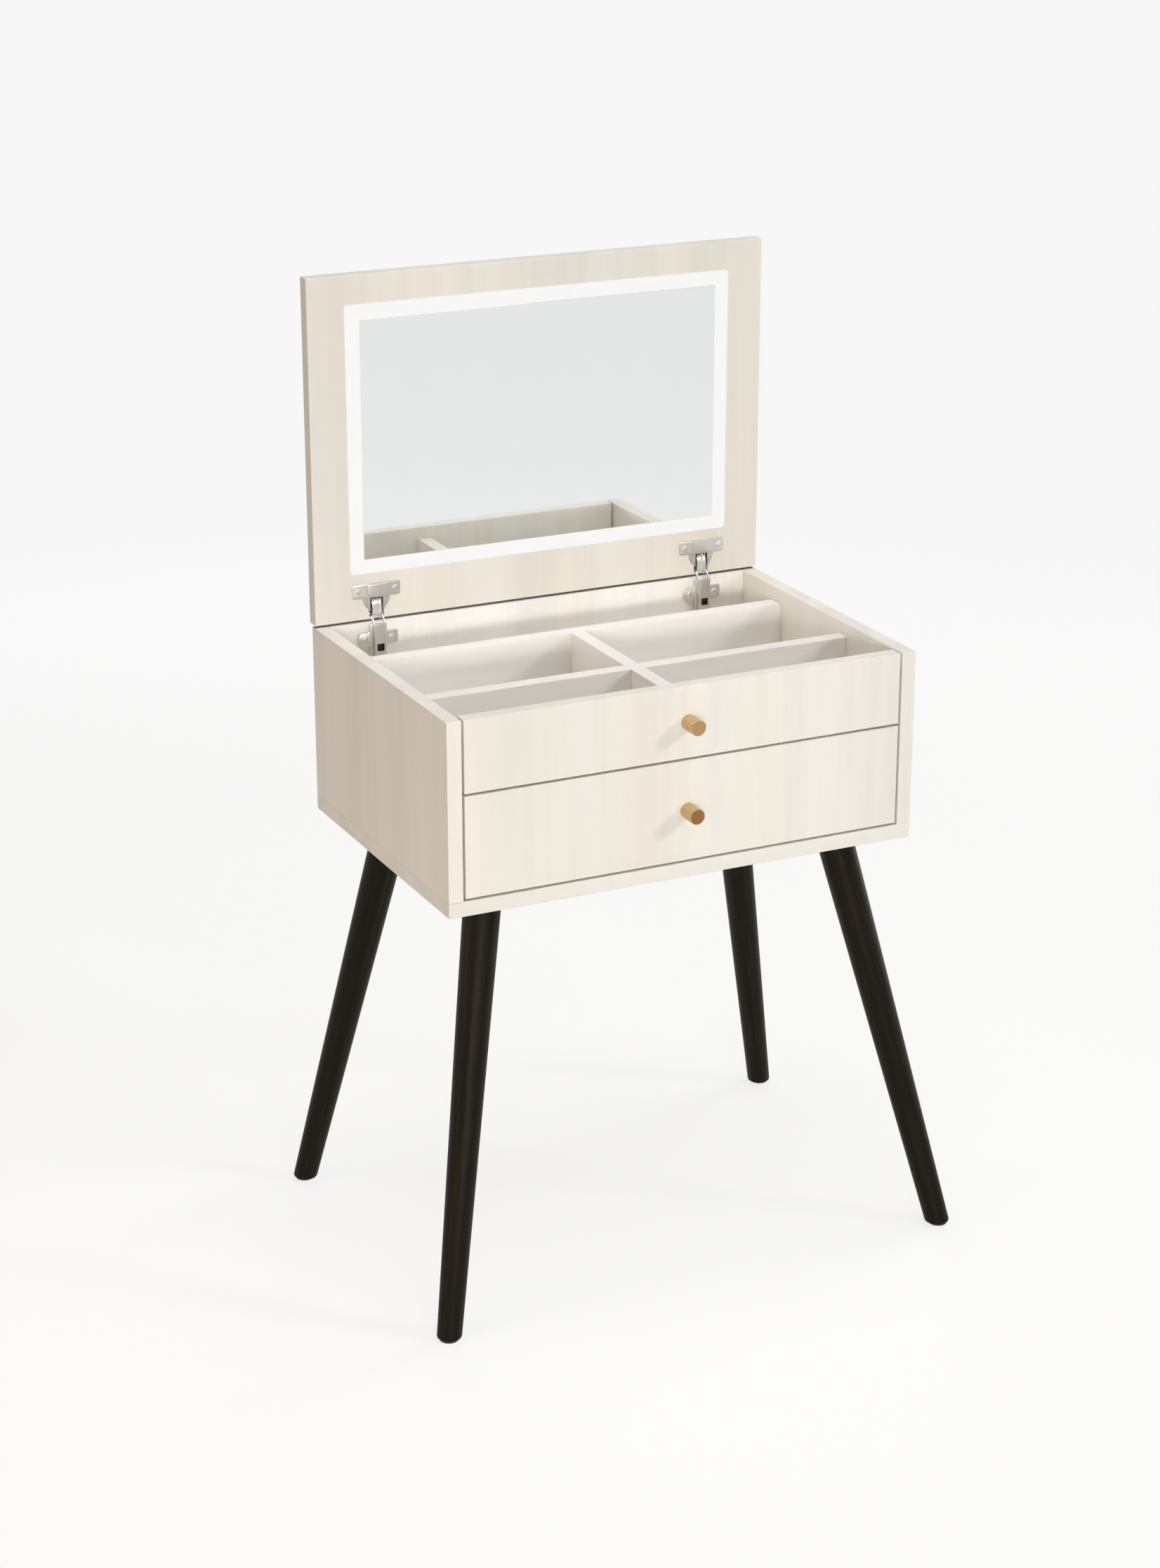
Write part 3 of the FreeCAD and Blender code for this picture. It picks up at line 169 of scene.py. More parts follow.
class HingeProps(PropertyGroup):
    """Pressed sheets of the lid hinges."""
    sheet: FloatProperty(
        name="Sheet", description="Thickness of the pressed steel", unit="LENGTH",
        min=0.0005, max=0.003, default=0.0012)
    edge: FloatProperty(
        name="Edge", description="Radius of the eased edges", unit="LENGTH",
        min=0.0001, max=0.0006, default=0.00035)
    cup_radius: FloatProperty(
        name="Cup radius", description="Radius of the cup let into the lid", unit="LENGTH",
        min=0.01, max=0.03, default=0.0174)
    cup_offset: FloatProperty(
        name="Cup offset", description="From the lid's edge to the middle of the cup",
        unit="LENGTH", min=0.015, max=0.05, default=0.0265)
    screw_radius: FloatProperty(
        name="Screw head", description="Radius of a screw's head", unit="LENGTH",
        min=0.002, max=0.006, default=0.0034)


class StudioProps(PropertyGroup):
    """Camera, lamps and backdrop."""
    camera_place: FloatVectorProperty(
        name="Camera place", description="Where the camera stands", subtype="TRANSLATION",
        unit="LENGTH", size=3, default=(-1.6145, -3.2170, 1.8560))
    camera_aim: FloatVectorProperty(
        name="Camera aim", description="Point in the middle of the picture",
        subtype="TRANSLATION", unit="LENGTH", size=3, default=(-0.1374, -0.1775, 0.6337))
    lens: FloatProperty(
        name="Lens", description="Focal length in millimetres", unit="CAMERA",
        min=10, max=300, default=73.37)
    backdrop: FloatVectorProperty(
        name="Backdrop", description="Pale grey behind the table", subtype="COLOR",
        size=3, min=0, max=1, default=rgb(247, 247, 247))
    key_power: FloatProperty(
        name="Key light", description="Power of the light at the front left", unit="POWER",
        min=0, max=2000, default=67)
    front_power: FloatProperty(
        name="Front light", description="Power of the light at the front right", unit="POWER",
        min=0, max=2000, default=10)
    right_power: FloatProperty(
        name="Right light", description="Power of the narrow light that throws the knobs' shadows",
        unit="POWER", min=0, max=2000, default=2.6)
    fill_power: FloatProperty(
        name="Fill light", description="Power of the warm light at the left", unit="POWER",
        min=0, max=2000, default=19)
    top_power: FloatProperty(
        name="Top light", description="Power of the light overhead", unit="POWER",
        min=0, max=2000, default=21)
    tray_power: FloatProperty(
        name="Tray light", description="Power of the light above the front, for the trays",
        unit="POWER", min=0, max=2000, default=15)
    rear_power: FloatProperty(
        name="Rear lights", description="Power of each light behind the table and at its right",
        unit="POWER", min=0, max=2000, default=82)
    room_low: FloatVectorProperty(
        name="Room, low", description="Tone of the room before the table, near the floor",
        subtype="COLOR", size=3, min=0, max=1, default=rgb(240, 240, 240))
    room_high: FloatVectorProperty(
        name="Room, high", description="Tone of the room before the table, overhead",
        subtype="COLOR", size=3, min=0, max=1, default=rgb(128, 128, 130))
    room: FloatProperty(
        name="Room light", description="Even light from all round", subtype="FACTOR",
        min=0, max=3, default=0.15)


class Wire:
    """A socket of a node tree. Arithmetic on it adds Math nodes, and node() adds any other."""

    def __init__(self, tree, socket=None):
        self.tree = tree
        self.socket = socket

    def node(self, kind, settings=None, sockets=None, output=0):
        """Adds a node: its settings, then the values or links of its sockets."""
        made = self.tree.nodes.new(kind)
        for name, setting in (settings or {}).items():
            setattr(made, name, setting)
        for key, source in (sockets or {}).items():
            socket = made.inputs[key]
            if isinstance(source, Wire):
                self.tree.links.new(source.socket, socket)
            elif socket.type == "RGBA":
                socket.default_value = (*source, 1.0)
            else:
                socket.default_value = source
        return Wire(self.tree, made.outputs[output] if made.outputs else None)

    def maths(self, operation, *terms):
        """A Math node on values."""
        return self.node("ShaderNodeMath", {"operation": operation}, dict(enumerate(terms)))

    def __add__(self, other):
        return self.maths("ADD", self, other)

    def __radd__(self, other):
        return self.maths("ADD", other, self)

    def __sub__(self, other):
        return self.maths("SUBTRACT", self, other)

    def __rsub__(self, other):
        return self.maths("SUBTRACT", other, self)

    def __mul__(self, other):
        return self.maths("MULTIPLY", self, other)

    def __rmul__(self, other):
        return self.maths("MULTIPLY", other, self)

    def __gt__(self, other):
        return self.maths("GREATER_THAN", self, other)

    def __abs__(self):
        return self.maths("ABSOLUTE", self)

    def swing(self, reach):
        """This noise about zero instead of about a half, made wider or narrower."""
        return (self - 0.5) * reach

    def ease(self, low, high):
        """This value as a smooth step from 0 at low to 1 at high."""
        return self.node("ShaderNodeMapRange", {"interpolation_type": "SMOOTHSTEP"},
                         {"Value": self, "From Min": low, "From Max": high})

    def blend(self, share, first, second):
        """A colour between two others."""
        return self.node("ShaderNodeMix", {"data_type": "RGBA"},
                         {"Factor": share, 6: first, 7: second}, 2)

    def toned(self, share, colour, tone):
        """A colour multiplied, wholly or in part, by a tone."""
        return self.node("ShaderNodeMix", {"data_type": "RGBA", "blend_type": "MULTIPLY"},
                         {"Factor": share, 6: colour, 7: tone}, 2)

    def parts(self, vector):
        """The X, Y and Z of a vector."""
        split = self.node("ShaderNodeSeparateXYZ", sockets={0: vector}).socket.node
        return tuple(Wire(self.tree, socket) for socket in split.outputs)

    def stretched(self, place, scale):
        """A place multiplied by a scale for each axis."""
        return self.node("ShaderNodeVectorMath", {"operation": "MULTIPLY"},
                         {0: place, 1: scale})

    def noise(self, place, scale, detail=2.0, rough=0.5):
        """Soft noise, from 0 to 1, at a place. Its scale is one number, or one for each axis."""
        if isinstance(scale, tuple):
            place = self.stretched(place, scale)
            scale = 1.0
        return self.node("ShaderNodeTexNoise", sockets={
            "Vector": place, "Scale": scale, "Detail": detail, "Roughness": rough})

    def raised(self, height, depth):
        """A normal from a height between 0 and 1 that stands for a depth in metres."""
        return self.node("ShaderNodeBump", sockets={"Height": height, "Distance": depth,
                                                    "Strength": 1.0})


def start_finish(name):
    """A new material, the wire that starts its nodes, and each point's place in metres."""
    material = bpy.data.materials.new(name)
    material.use_nodes = True
    material.node_tree.nodes.clear()
    wire = Wire(material.node_tree)
    return material, wire, wire.node("ShaderNodeTexCoord", output="Object")


def end_finish(wire, **sockets):
    """Closes a finish with a Principled surface, whose sockets are named with underscores."""
    named = {name.replace("_", " "): source for name, source in sockets.items()}
    surface = wire.node("ShaderNodeBsdfPrincipled", sockets=named)
    wire.node("ShaderNodeOutputMaterial", sockets={"Surface": surface})


def along(axis, run, across):
    """A scale for stretched noise: slow along the grain's axis and quick across it."""
    return tuple(run if letter == axis else across for letter in "XYZ")


def board_finish(name, axis, colour, props, covered=None, outer=None):
    """Satin laminate with broad faint bands and fine fibres along one axis.

    Behind the point covered the laminate may have an outer colour, and the edge above that
    point, which the lid covers, is painted dark as shade for the gap under the lid.
    """
    material, wire, place = start_finish(name)
    deep, up = wire.parts(place)[1:]
    broad = wire.noise(place, along(axis, run=0.8, across=13.0), detail=3.0, rough=0.6)
    streaks = wire.noise(place, along(axis, run=2.5, across=110.0), detail=3.0, rough=0.6)
    fibres = wire.noise(place, along(axis, run=14.0, across=700.0))
    hue = wire.noise(place, along(axis, run=0.6, across=9.0), detail=1.0)
    warm, cool = (1.0, 0.992, 0.972), (0.988, 0.995, 1.0)
    tint = wire.blend(hue.ease(0.35, 0.65), warm, cool)
    ground = wire.blend(deep > covered.y, colour, outer) if outer else colour
    band = broad.swing(2.6) + streaks.swing(0.5) + fibres.swing(0.3)
    dark = darker(WHITE, 1 - 3 * props.streak)
    toned = wire.toned((0.5 - band).ease(0.0, 1.0), wire.toned(1.0, ground, tint), dark)
    # Painted shade: the rear top edge under the lid takes a dark colour for the shade in the gap
    if covered:
        toned = wire.blend((deep > covered.y) * (up > covered.z), toned, props.gap_shade)
    end_finish(wire, Base_Color=toned, Roughness=props.roughness + fibres.swing(0.14),
               Coat_Weight=0.03, Coat_Roughness=0.45, Specular_IOR_Level=0.25,
               Normal=wire.raised(fibres, depth=0.03 * MILLIMETRE))
    return material


def leg_lean(end, top_radius):
    """How far a leg's middle line goes outwards for each metre down, in X and in Y."""
    low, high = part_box(f"{end}_right_leg")
    glide_low, glide_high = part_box(f"{end}_right_glide")
    foot = (glide_low + glide_high) / 2
    inner_y = -high.y if end == "front" else low.y
    return Vector(((foot.x - low.x - top_radius) / high.z,
                   (abs(foot.y) - inner_y - top_radius) / high.z))


def leg_finish(name, props):
    """Near-black stain over a straight grain that runs down each leaning leg."""
    material, wire, place = start_finish(name)
    x, y, z = wire.parts(place)
    front, rear = (leg_lean(end, props.top_radius) for end in ENDS)
    lean_y = front.y + (y > 0) * (rear.y - front.y)
    upright = wire.node("ShaderNodeCombineXYZ", sockets={
        0: abs(x) + z * front.x, 1: abs(y) + z * lean_y, 2: z})
    broad = wire.noise(upright, (120, 120, 3), detail=3.0)
    pores = wire.noise(upright, (900, 900, 14))
    grain = (broad * 0.55 + pores * 0.45).ease(0.42, 0.75)
    end_finish(wire, Base_Color=wire.blend(grain, props.colour, props.grain),
               Roughness=0.36 + pores * 0.16, Specular_IOR_Level=0.09,
               Normal=wire.raised(pores, depth=0.06 * MILLIMETRE))
    return material


def knob_finish(name, node, cut_end_and_shade_tone, props):
    """Golden wood with year rings on the end, toned by its cut end grain and by painted shade, and
    grain along the side.
    """
    low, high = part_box(node)
    material, wire, coordinates = start_finish(name)
    place = wire.node("ShaderNodeVectorMath", {"operation": "SUBTRACT"},
                      {0: coordinates, 1: (low + high) / 2})
    sway = wire.noise(place, (70, 12, 70))
    tree_heart = (0.021, 0, -0.03)
    from_heart = wire.node("ShaderNodeVectorMath", {"operation": "DISTANCE"},
                           {0: wire.stretched(place, (1, 0, 1)), 1: tree_heart}, "Value")
    turn = (from_heart + sway * 0.0028) * (2 * math.pi / props.ring)
    ring = (wire.maths("SINE", turn) * 0.5 + 0.5).ease(0.25, 1.0)
    flecks = wire.noise(place, (1500, 130, 1500)).ease(0.6, 0.75)
    facing = wire.parts(wire.node("ShaderNodeTexCoord", output="Normal"))[1]
    # Partly end grain, partly painted shade: faces that point along Y take the darker end tone
    end_grain_and_shade = abs(facing).ease(0.6, 0.9)
    grain = wire.blend(ring * 0.75 + flecks * 0.35, props.early, props.late)
    end_finish(wire, Base_Color=wire.toned(end_grain_and_shade, grain, cut_end_and_shade_tone),
               Roughness=0.42 + flecks * 0.2, Coat_Weight=0.12, Coat_Roughness=0.3,
               Normal=wire.raised(1 - flecks, depth=0.05 * MILLIMETRE))
    return material


def metal_finish(name, colour, roughness, brushed=None, metallic=1.0):
    """Plated steel, smooth or with faint lines along one axis."""
    material, wire, place = start_finish(name)
    cloud = wire.noise(place, 90.0)
    speckle = (1500.0, 1500.0, 1500.0)
    lines = wire.noise(place, along(brushed, run=12.0, across=1600.0) if brushed else speckle)
    share = (cloud * 0.5 + lines * 0.5).ease(0.25, 0.75)
    end_finish(wire, Base_Color=wire.blend(share, darker(colour, 0.93), colour),
               Metallic=metallic, Roughness=roughness + cloud.swing(0.05) + lines.swing(0.06),
               Normal=wire.raised(lines, depth=0.004 * MILLIMETRE))
    return material


def plastic_finish(name, colour, roughness):
    """Moulded plastic with a fine texture."""
    material, wire, place = start_finish(name)
    pebble = wire.noise(place, 2200.0)
    cloud = wire.noise(place, 60.0)
    end_finish(wire, Base_Color=wire.blend(cloud, darker(colour, 0.88), colour),
               Roughness=roughness + pebble.swing(0.2),
               Normal=wire.raised(pebble, depth=0.03 * MILLIMETRE))
    return material


def peg_finish(name):
    """Bare fluted hardwood."""
    material, wire, place = start_finish(name)
    grain = wire.noise(place, (700, 700, 260), detail=3.0)
    end_finish(wire, Base_Color=wire.blend(grain, rgb(196, 160, 112), rgb(228, 198, 150)),
               Roughness=0.6 + grain * 0.2, Normal=wire.raised(grain, depth=0.1 * MILLIMETRE))
    return material


def mirror_finish(name):
    """Silvered glass with a trace of unevenness."""
    material, wire, place = start_finish(name)
    cloud = wire.noise(place, 30.0)
    end_finish(wire, Base_Color=wire.blend(cloud, (0.94, 0.955, 0.95), (0.96, 0.97, 0.965)),
               Metallic=1.0, Roughness=0.008 + cloud * 0.01)
    return material


def frosted_finish(name, props):
    """Frosted acrylic, lit from behind."""
    material, wire, place = start_finish(name)
    frost = wire.noise(place, 2600.0)
    glow = wire.noise(place, 14.0, detail=1.0)
    end_finish(wire, Base_Color=(0.3, 0.3, 0.3), Roughness=0.45 + frost * 0.2,
               Emission_Color=wire.blend(glow, darker(props.colour, 0.96), props.colour),
               Emission_Strength=props.strength,
               Normal=wire.raised(frost, depth=0.02 * MILLIMETRE))
    return material


def tape_finish(name):
    """White tape with a row of small yellow light chips."""
    material, wire, place = start_finish(name)
    chips = wire.node("ShaderNodeTexChecker", sockets={
        "Vector": place, "Scale": 120.0, "Color1": rgb(240, 238, 230),
        "Color2": rgb(236, 205, 110)})
    end_finish(wire, Base_Color=chips, Roughness=0.5)
    return material


def circuit_finish(name):
    """Green lacquered board with pale tracks."""
    material, wire, place = start_finish(name)
    tracks = wire.node("ShaderNodeTexVoronoi", {"distance": "MANHATTAN", "feature": "F1"},
                       {"Vector": place, "Scale": 260.0}).ease(0.42, 0.5)
    end_finish(wire, Base_Color=wire.blend(tracks, rgb(24, 82, 46), rgb(70, 128, 84)),
               Roughness=0.3, Normal=wire.raised(tracks, depth=0.05 * MILLIMETRE))
    return material


def dress(material, *nodes):
    """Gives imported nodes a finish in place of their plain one."""
    for name in nodes:
        slots = frame["nodes"][name].data.materials
        slots.clear()
        slots.append(material)


def span(node):
    """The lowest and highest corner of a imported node, in millimetres."""
    low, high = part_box(node)
    return low / MILLIMETRE, high / MILLIMETRE


def centre(node):
    """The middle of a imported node's box, in millimetres."""
    low, high = span(node)
    return (low + high) / 2


def arc(centre_point, radius, start, end, steps=10):
    """Points along an arc between two angles in degrees."""
    across, up = centre_point
    angles = [math.radians(start + (end - start) * step / steps) for step in range(steps + 1)]
    return [(across + radius * math.cos(angle), up + radius * math.sin(angle))
            for angle in angles]


def rounded_box(left, right, low, high, radius):
    """Outline of a box with rounded corners, anticlockwise from the lower right."""
    corners = ((right - radius, low + radius), (right - radius, high - radius),
               (left + radius, high - radius), (left + radius, low + radius))
    return [point for index, corner in enumerate(corners)
            for point in arc(corner, radius, 90 * index - 90, 90 * index, 6)]


def mirrored(outline):
    """An outline's points on the other side of the upright axis, in the opposite order."""
    return [(-across, up) for across, up in reversed(outline)]


def pressed(loops, depth, edge, placing):
    """A sheet of one depth with eased edges: an outline, then its holes, in millimetres."""
    curve = bpy.data.curves.new("outline", "CURVE")
    curve.dimensions = "2D"
    curve.fill_mode = "BOTH"
    curve.extrude = depth / 2 - edge
    curve.bevel_depth = edge
    curve.bevel_resolution = 1
    curve.offset = -edge
    for loop in loops:
        spline = curve.splines.new("POLY")
        spline.points.add(len(loop) - 1)
        for point, place in zip(spline.points, loop):
            point.co = (*place, 0, 1)
        spline.use_cyclic_u = True
    holder = bpy.data.objects.new("outline", curve)
    mesh = bpy.data.meshes.new_from_object(holder)
    bpy.data.objects.remove(holder)
    bpy.data.curves.remove(curve)
    mesh.transform(Matrix.Scale(MILLIMETRE, 4) @ placing)
    return mesh


def join_rings(form, first, second):
    """Faces between two rings of as many points each."""
    for step, point in enumerate(first):
        after = (step + 1) % len(first)
        form.faces.new((point, first[after], second[after], second[step]))


def cross_screw(place, radius, length):
    """A screw along Y with a low dome and a cross in its head, in millimetres."""
    form = bmesh.new()
    steps = 32
    angles = [2 * math.pi * step / steps for step in range(steps)]
    shank, head_depth, point_length = 0.5 * radius, 1.2, 2.0
    profile = [(0.74 * radius, -0.50), (0.92 * radius, -0.32), (radius, 0.0), (radius, head_depth),
               (shank, head_depth), (shank, length - point_length)]
    rings = [[form.verts.new((distance * math.cos(angle), level, distance * math.sin(angle)))
              for angle in angles] for distance, level in profile]
    for outer, inner in zip(rings, rings[1:]):
        join_rings(form, outer, inner)
    tip = form.verts.new((0, length, 0))
    last = rings[-1]
    for step in range(steps):
        form.faces.new((last[step], last[(step + 1) % steps], tip))
    arm, half = 0.62 * radius, 0.13 * radius
    crown, bed, narrowing = -0.58, 0.5, 0.75
    cross = [(half, half), (half, arm), (-half, arm), (-half, half), (-arm, half), (-arm, -half),
             (-half, -half), (-half, -arm), (half, -arm), (half, -half), (arm, -half), (arm, half)]
    mouth = [form.verts.new((x, crown, z)) for x, z in cross]
    floor = [form.verts.new((x * narrowing, bed, z * narrowing)) for x, z in cross]
    join_rings(form, mouth, floor)
    form.faces.new(floor)
    rim = [form.edges.get((loop[step], loop[(step + 1) % len(loop)]))
           for loop in (rings[0], mouth) for step in range(len(loop))]
    bmesh.ops.triangle_fill(form, use_beauty=True, use_dissolve=False, edges=rim)
    form.normal_update()
    mesh = bpy.data.meshes.new("screw")
    form.to_mesh(mesh)
    form.free()
    # Each screw stops at an angle of its own
    turned = Matrix.Rotation(math.radians(7 * place[0] % 90), 4, "Y")
    mesh.transform(Matrix.Scale(MILLIMETRE, 4) @ Matrix.Translation(place) @ turned)
    return mesh


def piece(name, meshes, material, body, slot, *nodes):
    """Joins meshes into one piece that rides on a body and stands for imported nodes."""
    whole = bpy.data.meshes.new(name)
    form = bmesh.new()
    for mesh in meshes:
        form.from_mesh(mesh)
        bpy.data.meshes.remove(mesh)
    bmesh.ops.remove_doubles(form, verts=form.verts, dist=MERGE_DISTANCE)
    bmesh.ops.recalc_face_normals(form, faces=form.faces)
    form.to_mesh(whole)
    form.free()
    whole.shade_smooth()
    whole.set_sharp_from_angle(angle=CRISP_ANGLE)
    whole.materials.append(material)
    made = bpy.data.objects.new(name, whole)
    bpy.context.scene.collection.objects.link(made)
    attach(made, body)
    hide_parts(*nodes)


class Hinge:
    """One lid hinge of pressed sheet, drawn in millimetres to both sides of its middle."""

    # How the two directions of an outline and its depth lie in the row frame
    FRONT = Matrix(((1, 0, 0, 0), (0, 0, -1, 0), (0, 1, 0, 0), (0, 0, 0, 1)))
    SIDE = Matrix(((0, 0, 1, 0), (1, 0, 0, 0), (0, 1, 0, 0), (0, 0, 0, 1)))

    def __init__(self, side, props):
        self.name = f"{side}_hinge"
        self.edge = props.edge / MILLIMETRE
        self.sheet = props.sheet / MILLIMETRE
        self.cup_radius = props.cup_radius / MILLIMETRE
        self.middle = centre(f"{self.name}_arm").x
        self.pin = centre("hinge_pins").yz
        lid_corner = span("lid_panel")[0]
        self.lid_face = lid_corner.y
        self.cup_z = lid_corner.z + props.cup_offset / MILLIMETRE

    def from_front(self, loops, low, high, edge=None):
        """A sheet drawn as seen from the front, between two places along Y."""
        placing = Matrix.Translation((self.middle, (low + high) / 2, 0)) @ self.FRONT
        return pressed(loops, high - low, self.edge if edge is None else edge, placing)

    def from_side(self, outline, low, high, edge=None):
        """A solid drawn as seen from the side, between two distances from the middle."""
        placing = Matrix.Translation((self.middle + (low + high) / 2, 0, 0)) @ self.SIDE
        return pressed([outline], high - low, self.edge if edge is None else edge, placing)

    def add_cup(self, material):
        """Flange, cap and cup, with a slot for the link and the ears."""
        low, high = span(f"{self.name}_cup")
        half = (high.x - low.x) / 2
        under = span(f"{self.name}_link")[1].z
        face = self.lid_face
        bowl, radius = (0, self.cup_z), self.cup_radius
        corner, bend = 3, 5
        slot, slot_top = 8.3, under - 0.6
        neck, foot = 10.2, under - 16.5
        ear = [*arc((half - corner, under + corner), corner, -90, 0, 6),
               *arc((half - corner, high.z - corner), corner, 0, 90, 6)]
        throat = [*arc((-17.5, under - bend), bend, 90, 22), (-neck, foot), (-slot, foot),
                  (-slot, slot_top)]
        plate = ear + mirrored(ear) + throat + mirrored(throat)
        bite = math.degrees(math.asin(slot / radius))
        disc = [*arc(bowl, radius, bite - 90, 270 - bite, 48), (-slot, slot_top), (slot, slot_top)]
        gap = math.degrees(math.asin(10 / radius))
        wall = [*arc(bowl, radius, gap - 90, 270 - gap, 48),
                *arc(bowl, radius - 1, 270 - gap, gap - 90, 48)]
        floor = arc(bowl, radius, 0, 352.5, 47)
        cap = [*arc((4, under + 8), 8, -90, 0), *arc((10, high.z - 3), 2, 0, 90, 6),
               *arc((-10, high.z - 3), 2, 90, 180, 6), *arc((-4, under + 8), 8, 180, 270)]
        piece(f"{self.name}_cup_plate", [
            self.from_front([plate], face - 1.5, face),
            self.from_front([disc], face - 0.4, face + 0.8, edge=0.2),
            self.from_front([cap], low.y, face - 1, edge=0.9),
            self.from_front([wall], face + 0.5, high.y - 0.5, edge=0.05),
            self.from_front([floor], high.y - 1, high.y, edge=0.05),
        ], material, "lid", "hinge_nickel", f"{self.name}_cup")

    def add_link(self, material):
        """Bright strap with a pressed groove, from the cup round to the pin."""
        low, high = span(f"{self.name}_link")
        y, z = self.pin
        half = (high.x - low.x) / 2
        deep = high.y - 0.2
        rail_width, lap, groove = 2.6, 0.8, 0.9
        drum_radius, knuckle_radius = 7.9, 3.6
        front = [(deep, high.z - 0.3), (y - 3.2, high.z - 0.9), (y - 6.0, high.z - 2.4),
                 (y - 7.3, high.z - 6.0), (y - 7.8, high.z - 12.0)]
        back = [*arc(self.pin, knuckle_radius, 235, 450, 14), (y - 3.4, z + 6.2),
                (y - 3.4, high.z - 8.2), (deep, high.z - 7.2)]
        rail = front + arc(self.pin, drum_radius, 180, 235, 8) + back
        sunk = [(deep, high.z - 0.5), *((place + groove, level) for place, level in front[1:])]
        web = sunk + arc(self.pin, drum_radius - groove, 180, 235, 8) + back
        web_half = half - rail_width + lap
        piece(f"{self.name}_link_strap", [
            self.from_side(rail, -half, rail_width - half, edge=0.5),
            self.from_side(rail, half - rail_width, half, edge=0.5),
            self.from_side(web, -web_half, web_half, edge=0.1),
        ], material, "lid", "hinge_chrome", f"{self.name}_link")

    def add_arm(self, channel_material, ear_material):
        """Channel with a square hole, and the two bright ears that carry the pin."""
        low, high = span(f"{self.name}_arm")
        top = span(f"{self.name}_plate")[1].z
        half = (high.x - low.x) / 2
        inner = half - self.sheet
        hole = rounded_box(-4.5, 4.5, low.z + 9.5, low.z + 18.5, 0.6)
        web = rounded_box(-half, half, low.z, top, 0.8)
        wall = [(low.y + 0.2, low.z), (low.y + 7, low.z), (low.y + 7, top - 0.3),
                (low.y + 0.2, top - 0.3)]
        piece(f"{self.name}_arm_channel", [
            self.from_front([web, hole], low.y, low.y + self.sheet, edge=0.5),
            self.from_side(wall, -half, -inner),
            self.from_side(wall, inner, half),
        ], channel_material, "case", "hinge_nickel", f"{self.name}_arm")
        ear = [(low.y + 6.8, top - 8), (low.y + 6.8, top + 1.6), *arc(self.pin, 3.6, 285, 482, 14),
               *arc((low.y + 1.6, top - 1.6), 1.3, 135, 180, 4), (low.y + 0.3, top - 8)]
        play = 0.1
        piece(f"{self.name}_ears", [
            self.from_side(ear, play - half, -inner - play, edge=0.25),
            self.from_side(ear, inner + play, half - play, edge=0.25),
        ], ear_material, "case", "hinge_chrome", f"{self.name}_arm")

    def add_base(self, material, cam_shade_material):
        """Base plate with a round ear and a square wing, and the cam in the arm, coloured near-black
        as painted shade in the arm's square hole.
        """
        low, high = span(f"{self.name}_plate")
        level = centre("hinge_plate_screws").z
        half = (high.x - low.x) / 2
        body, foot, head = 11.0, low.z + 1.5, high.z - 2
        ear_middle, corner = 17.0, 3
        wing = [(body, foot), (body, level - 9.5),
                *arc((half - corner, level - 5.5), corner, -90, 0, 6),
                *arc((half - corner, level + 5.5), corner, 0, 90, 6),
                (body + corner, level + 8.5),
                *arc((body + corner, level + 11.5), corner, 270, 180, 6), (body, head)]
        ear = [(-body, head), *arc((-body - 4, level + 12), 4, 0, -75, 6),
               *arc((-ear_middle, level), half - ear_middle, 100, 262, 16),
               *arc((-body - corner, level - 11.5), corner, 80, 0, 6), (-body, foot)]
        ridge = rounded_box(-body, body, foot, head, 2)
        tongue = rounded_box(-6, 6, low.z + 19.5, high.z, 0.8)
        piece(f"{self.name}_base", [
            self.from_front([wing + ear], high.y - 2.5, high.y, edge=0.5),
            self.from_front([ridge], high.y - 3.7, high.y - 1, edge=0.6),
            self.from_front([tongue], low.y + 0.2, high.y - 2),
        ], material, "case", "hinge_nickel", f"{self.name}_plate")
        cam = rounded_box(-5.6, 5.6, low.z + 8, low.z + 19, 1)
        eye = arc((0, low.z + 13), 2.2, 0, 337.5, 15)
        piece(f"{self.name}_cam", [
            self.from_front([cam], low.y + 2.6, high.y - 2),
            self.from_front([cam, eye], low.y + 1.2, low.y + 3, edge=0.3),
        ], cam_shade_material, "case", "hinge_nickel", f"{self.name}_plate")


class VANITY_OT_boards(Operator):
    """Finishes the boards of the case, the lid and the drawer"""
    bl_idname = "vanity.boards"
    bl_label = "Boards"

    def execute(self, context):
        props = context.scene.vanity_boards
        # The painted shade strip starts a little behind the lid's face and just under the back's top
        covered = Vector((0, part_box("lid_panel")[0].y + 3 * MILLIMETRE,
                          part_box("back_panel")[1].z - 0.3 * MILLIMETRE))
        dress(board_finish("laminate_upright", "Z", props.colour, props, covered),
              "left_side_panel", "right_side_panel", "upper_front", "drawer_front")
        # Painted shade: the lid takes the greyer copy of the laminate
        dress(board_finish("laminate_lid", "Z", props.lid, props), "lid_panel")
        # Painted light: the back's inner face and the inside boards take the lighter copy, while the
        # back's outer face keeps the board colour
        dress(board_finish("inside_upright", "Z", props.inside, props, covered, props.colour),
              "back_panel")
        dress(board_finish("laminate_level", "X", props.colour, props), "bottom_panel")
        dress(board_finish("inside_level", "X", props.inside, props), "rear_divider",
              "middle_divider", "drawer_back", "tray_floor", "drawer_floor")
        dress(board_finish("inside_deep", "Y", props.inside, props), "centre_divider",
              "left_drawer_side", "right_drawer_side")
        dress(peg_finish("bare_pegs"), "panel_dowels", "tray_pegs", "drawer_pegs")
        return {"FINISHED"}


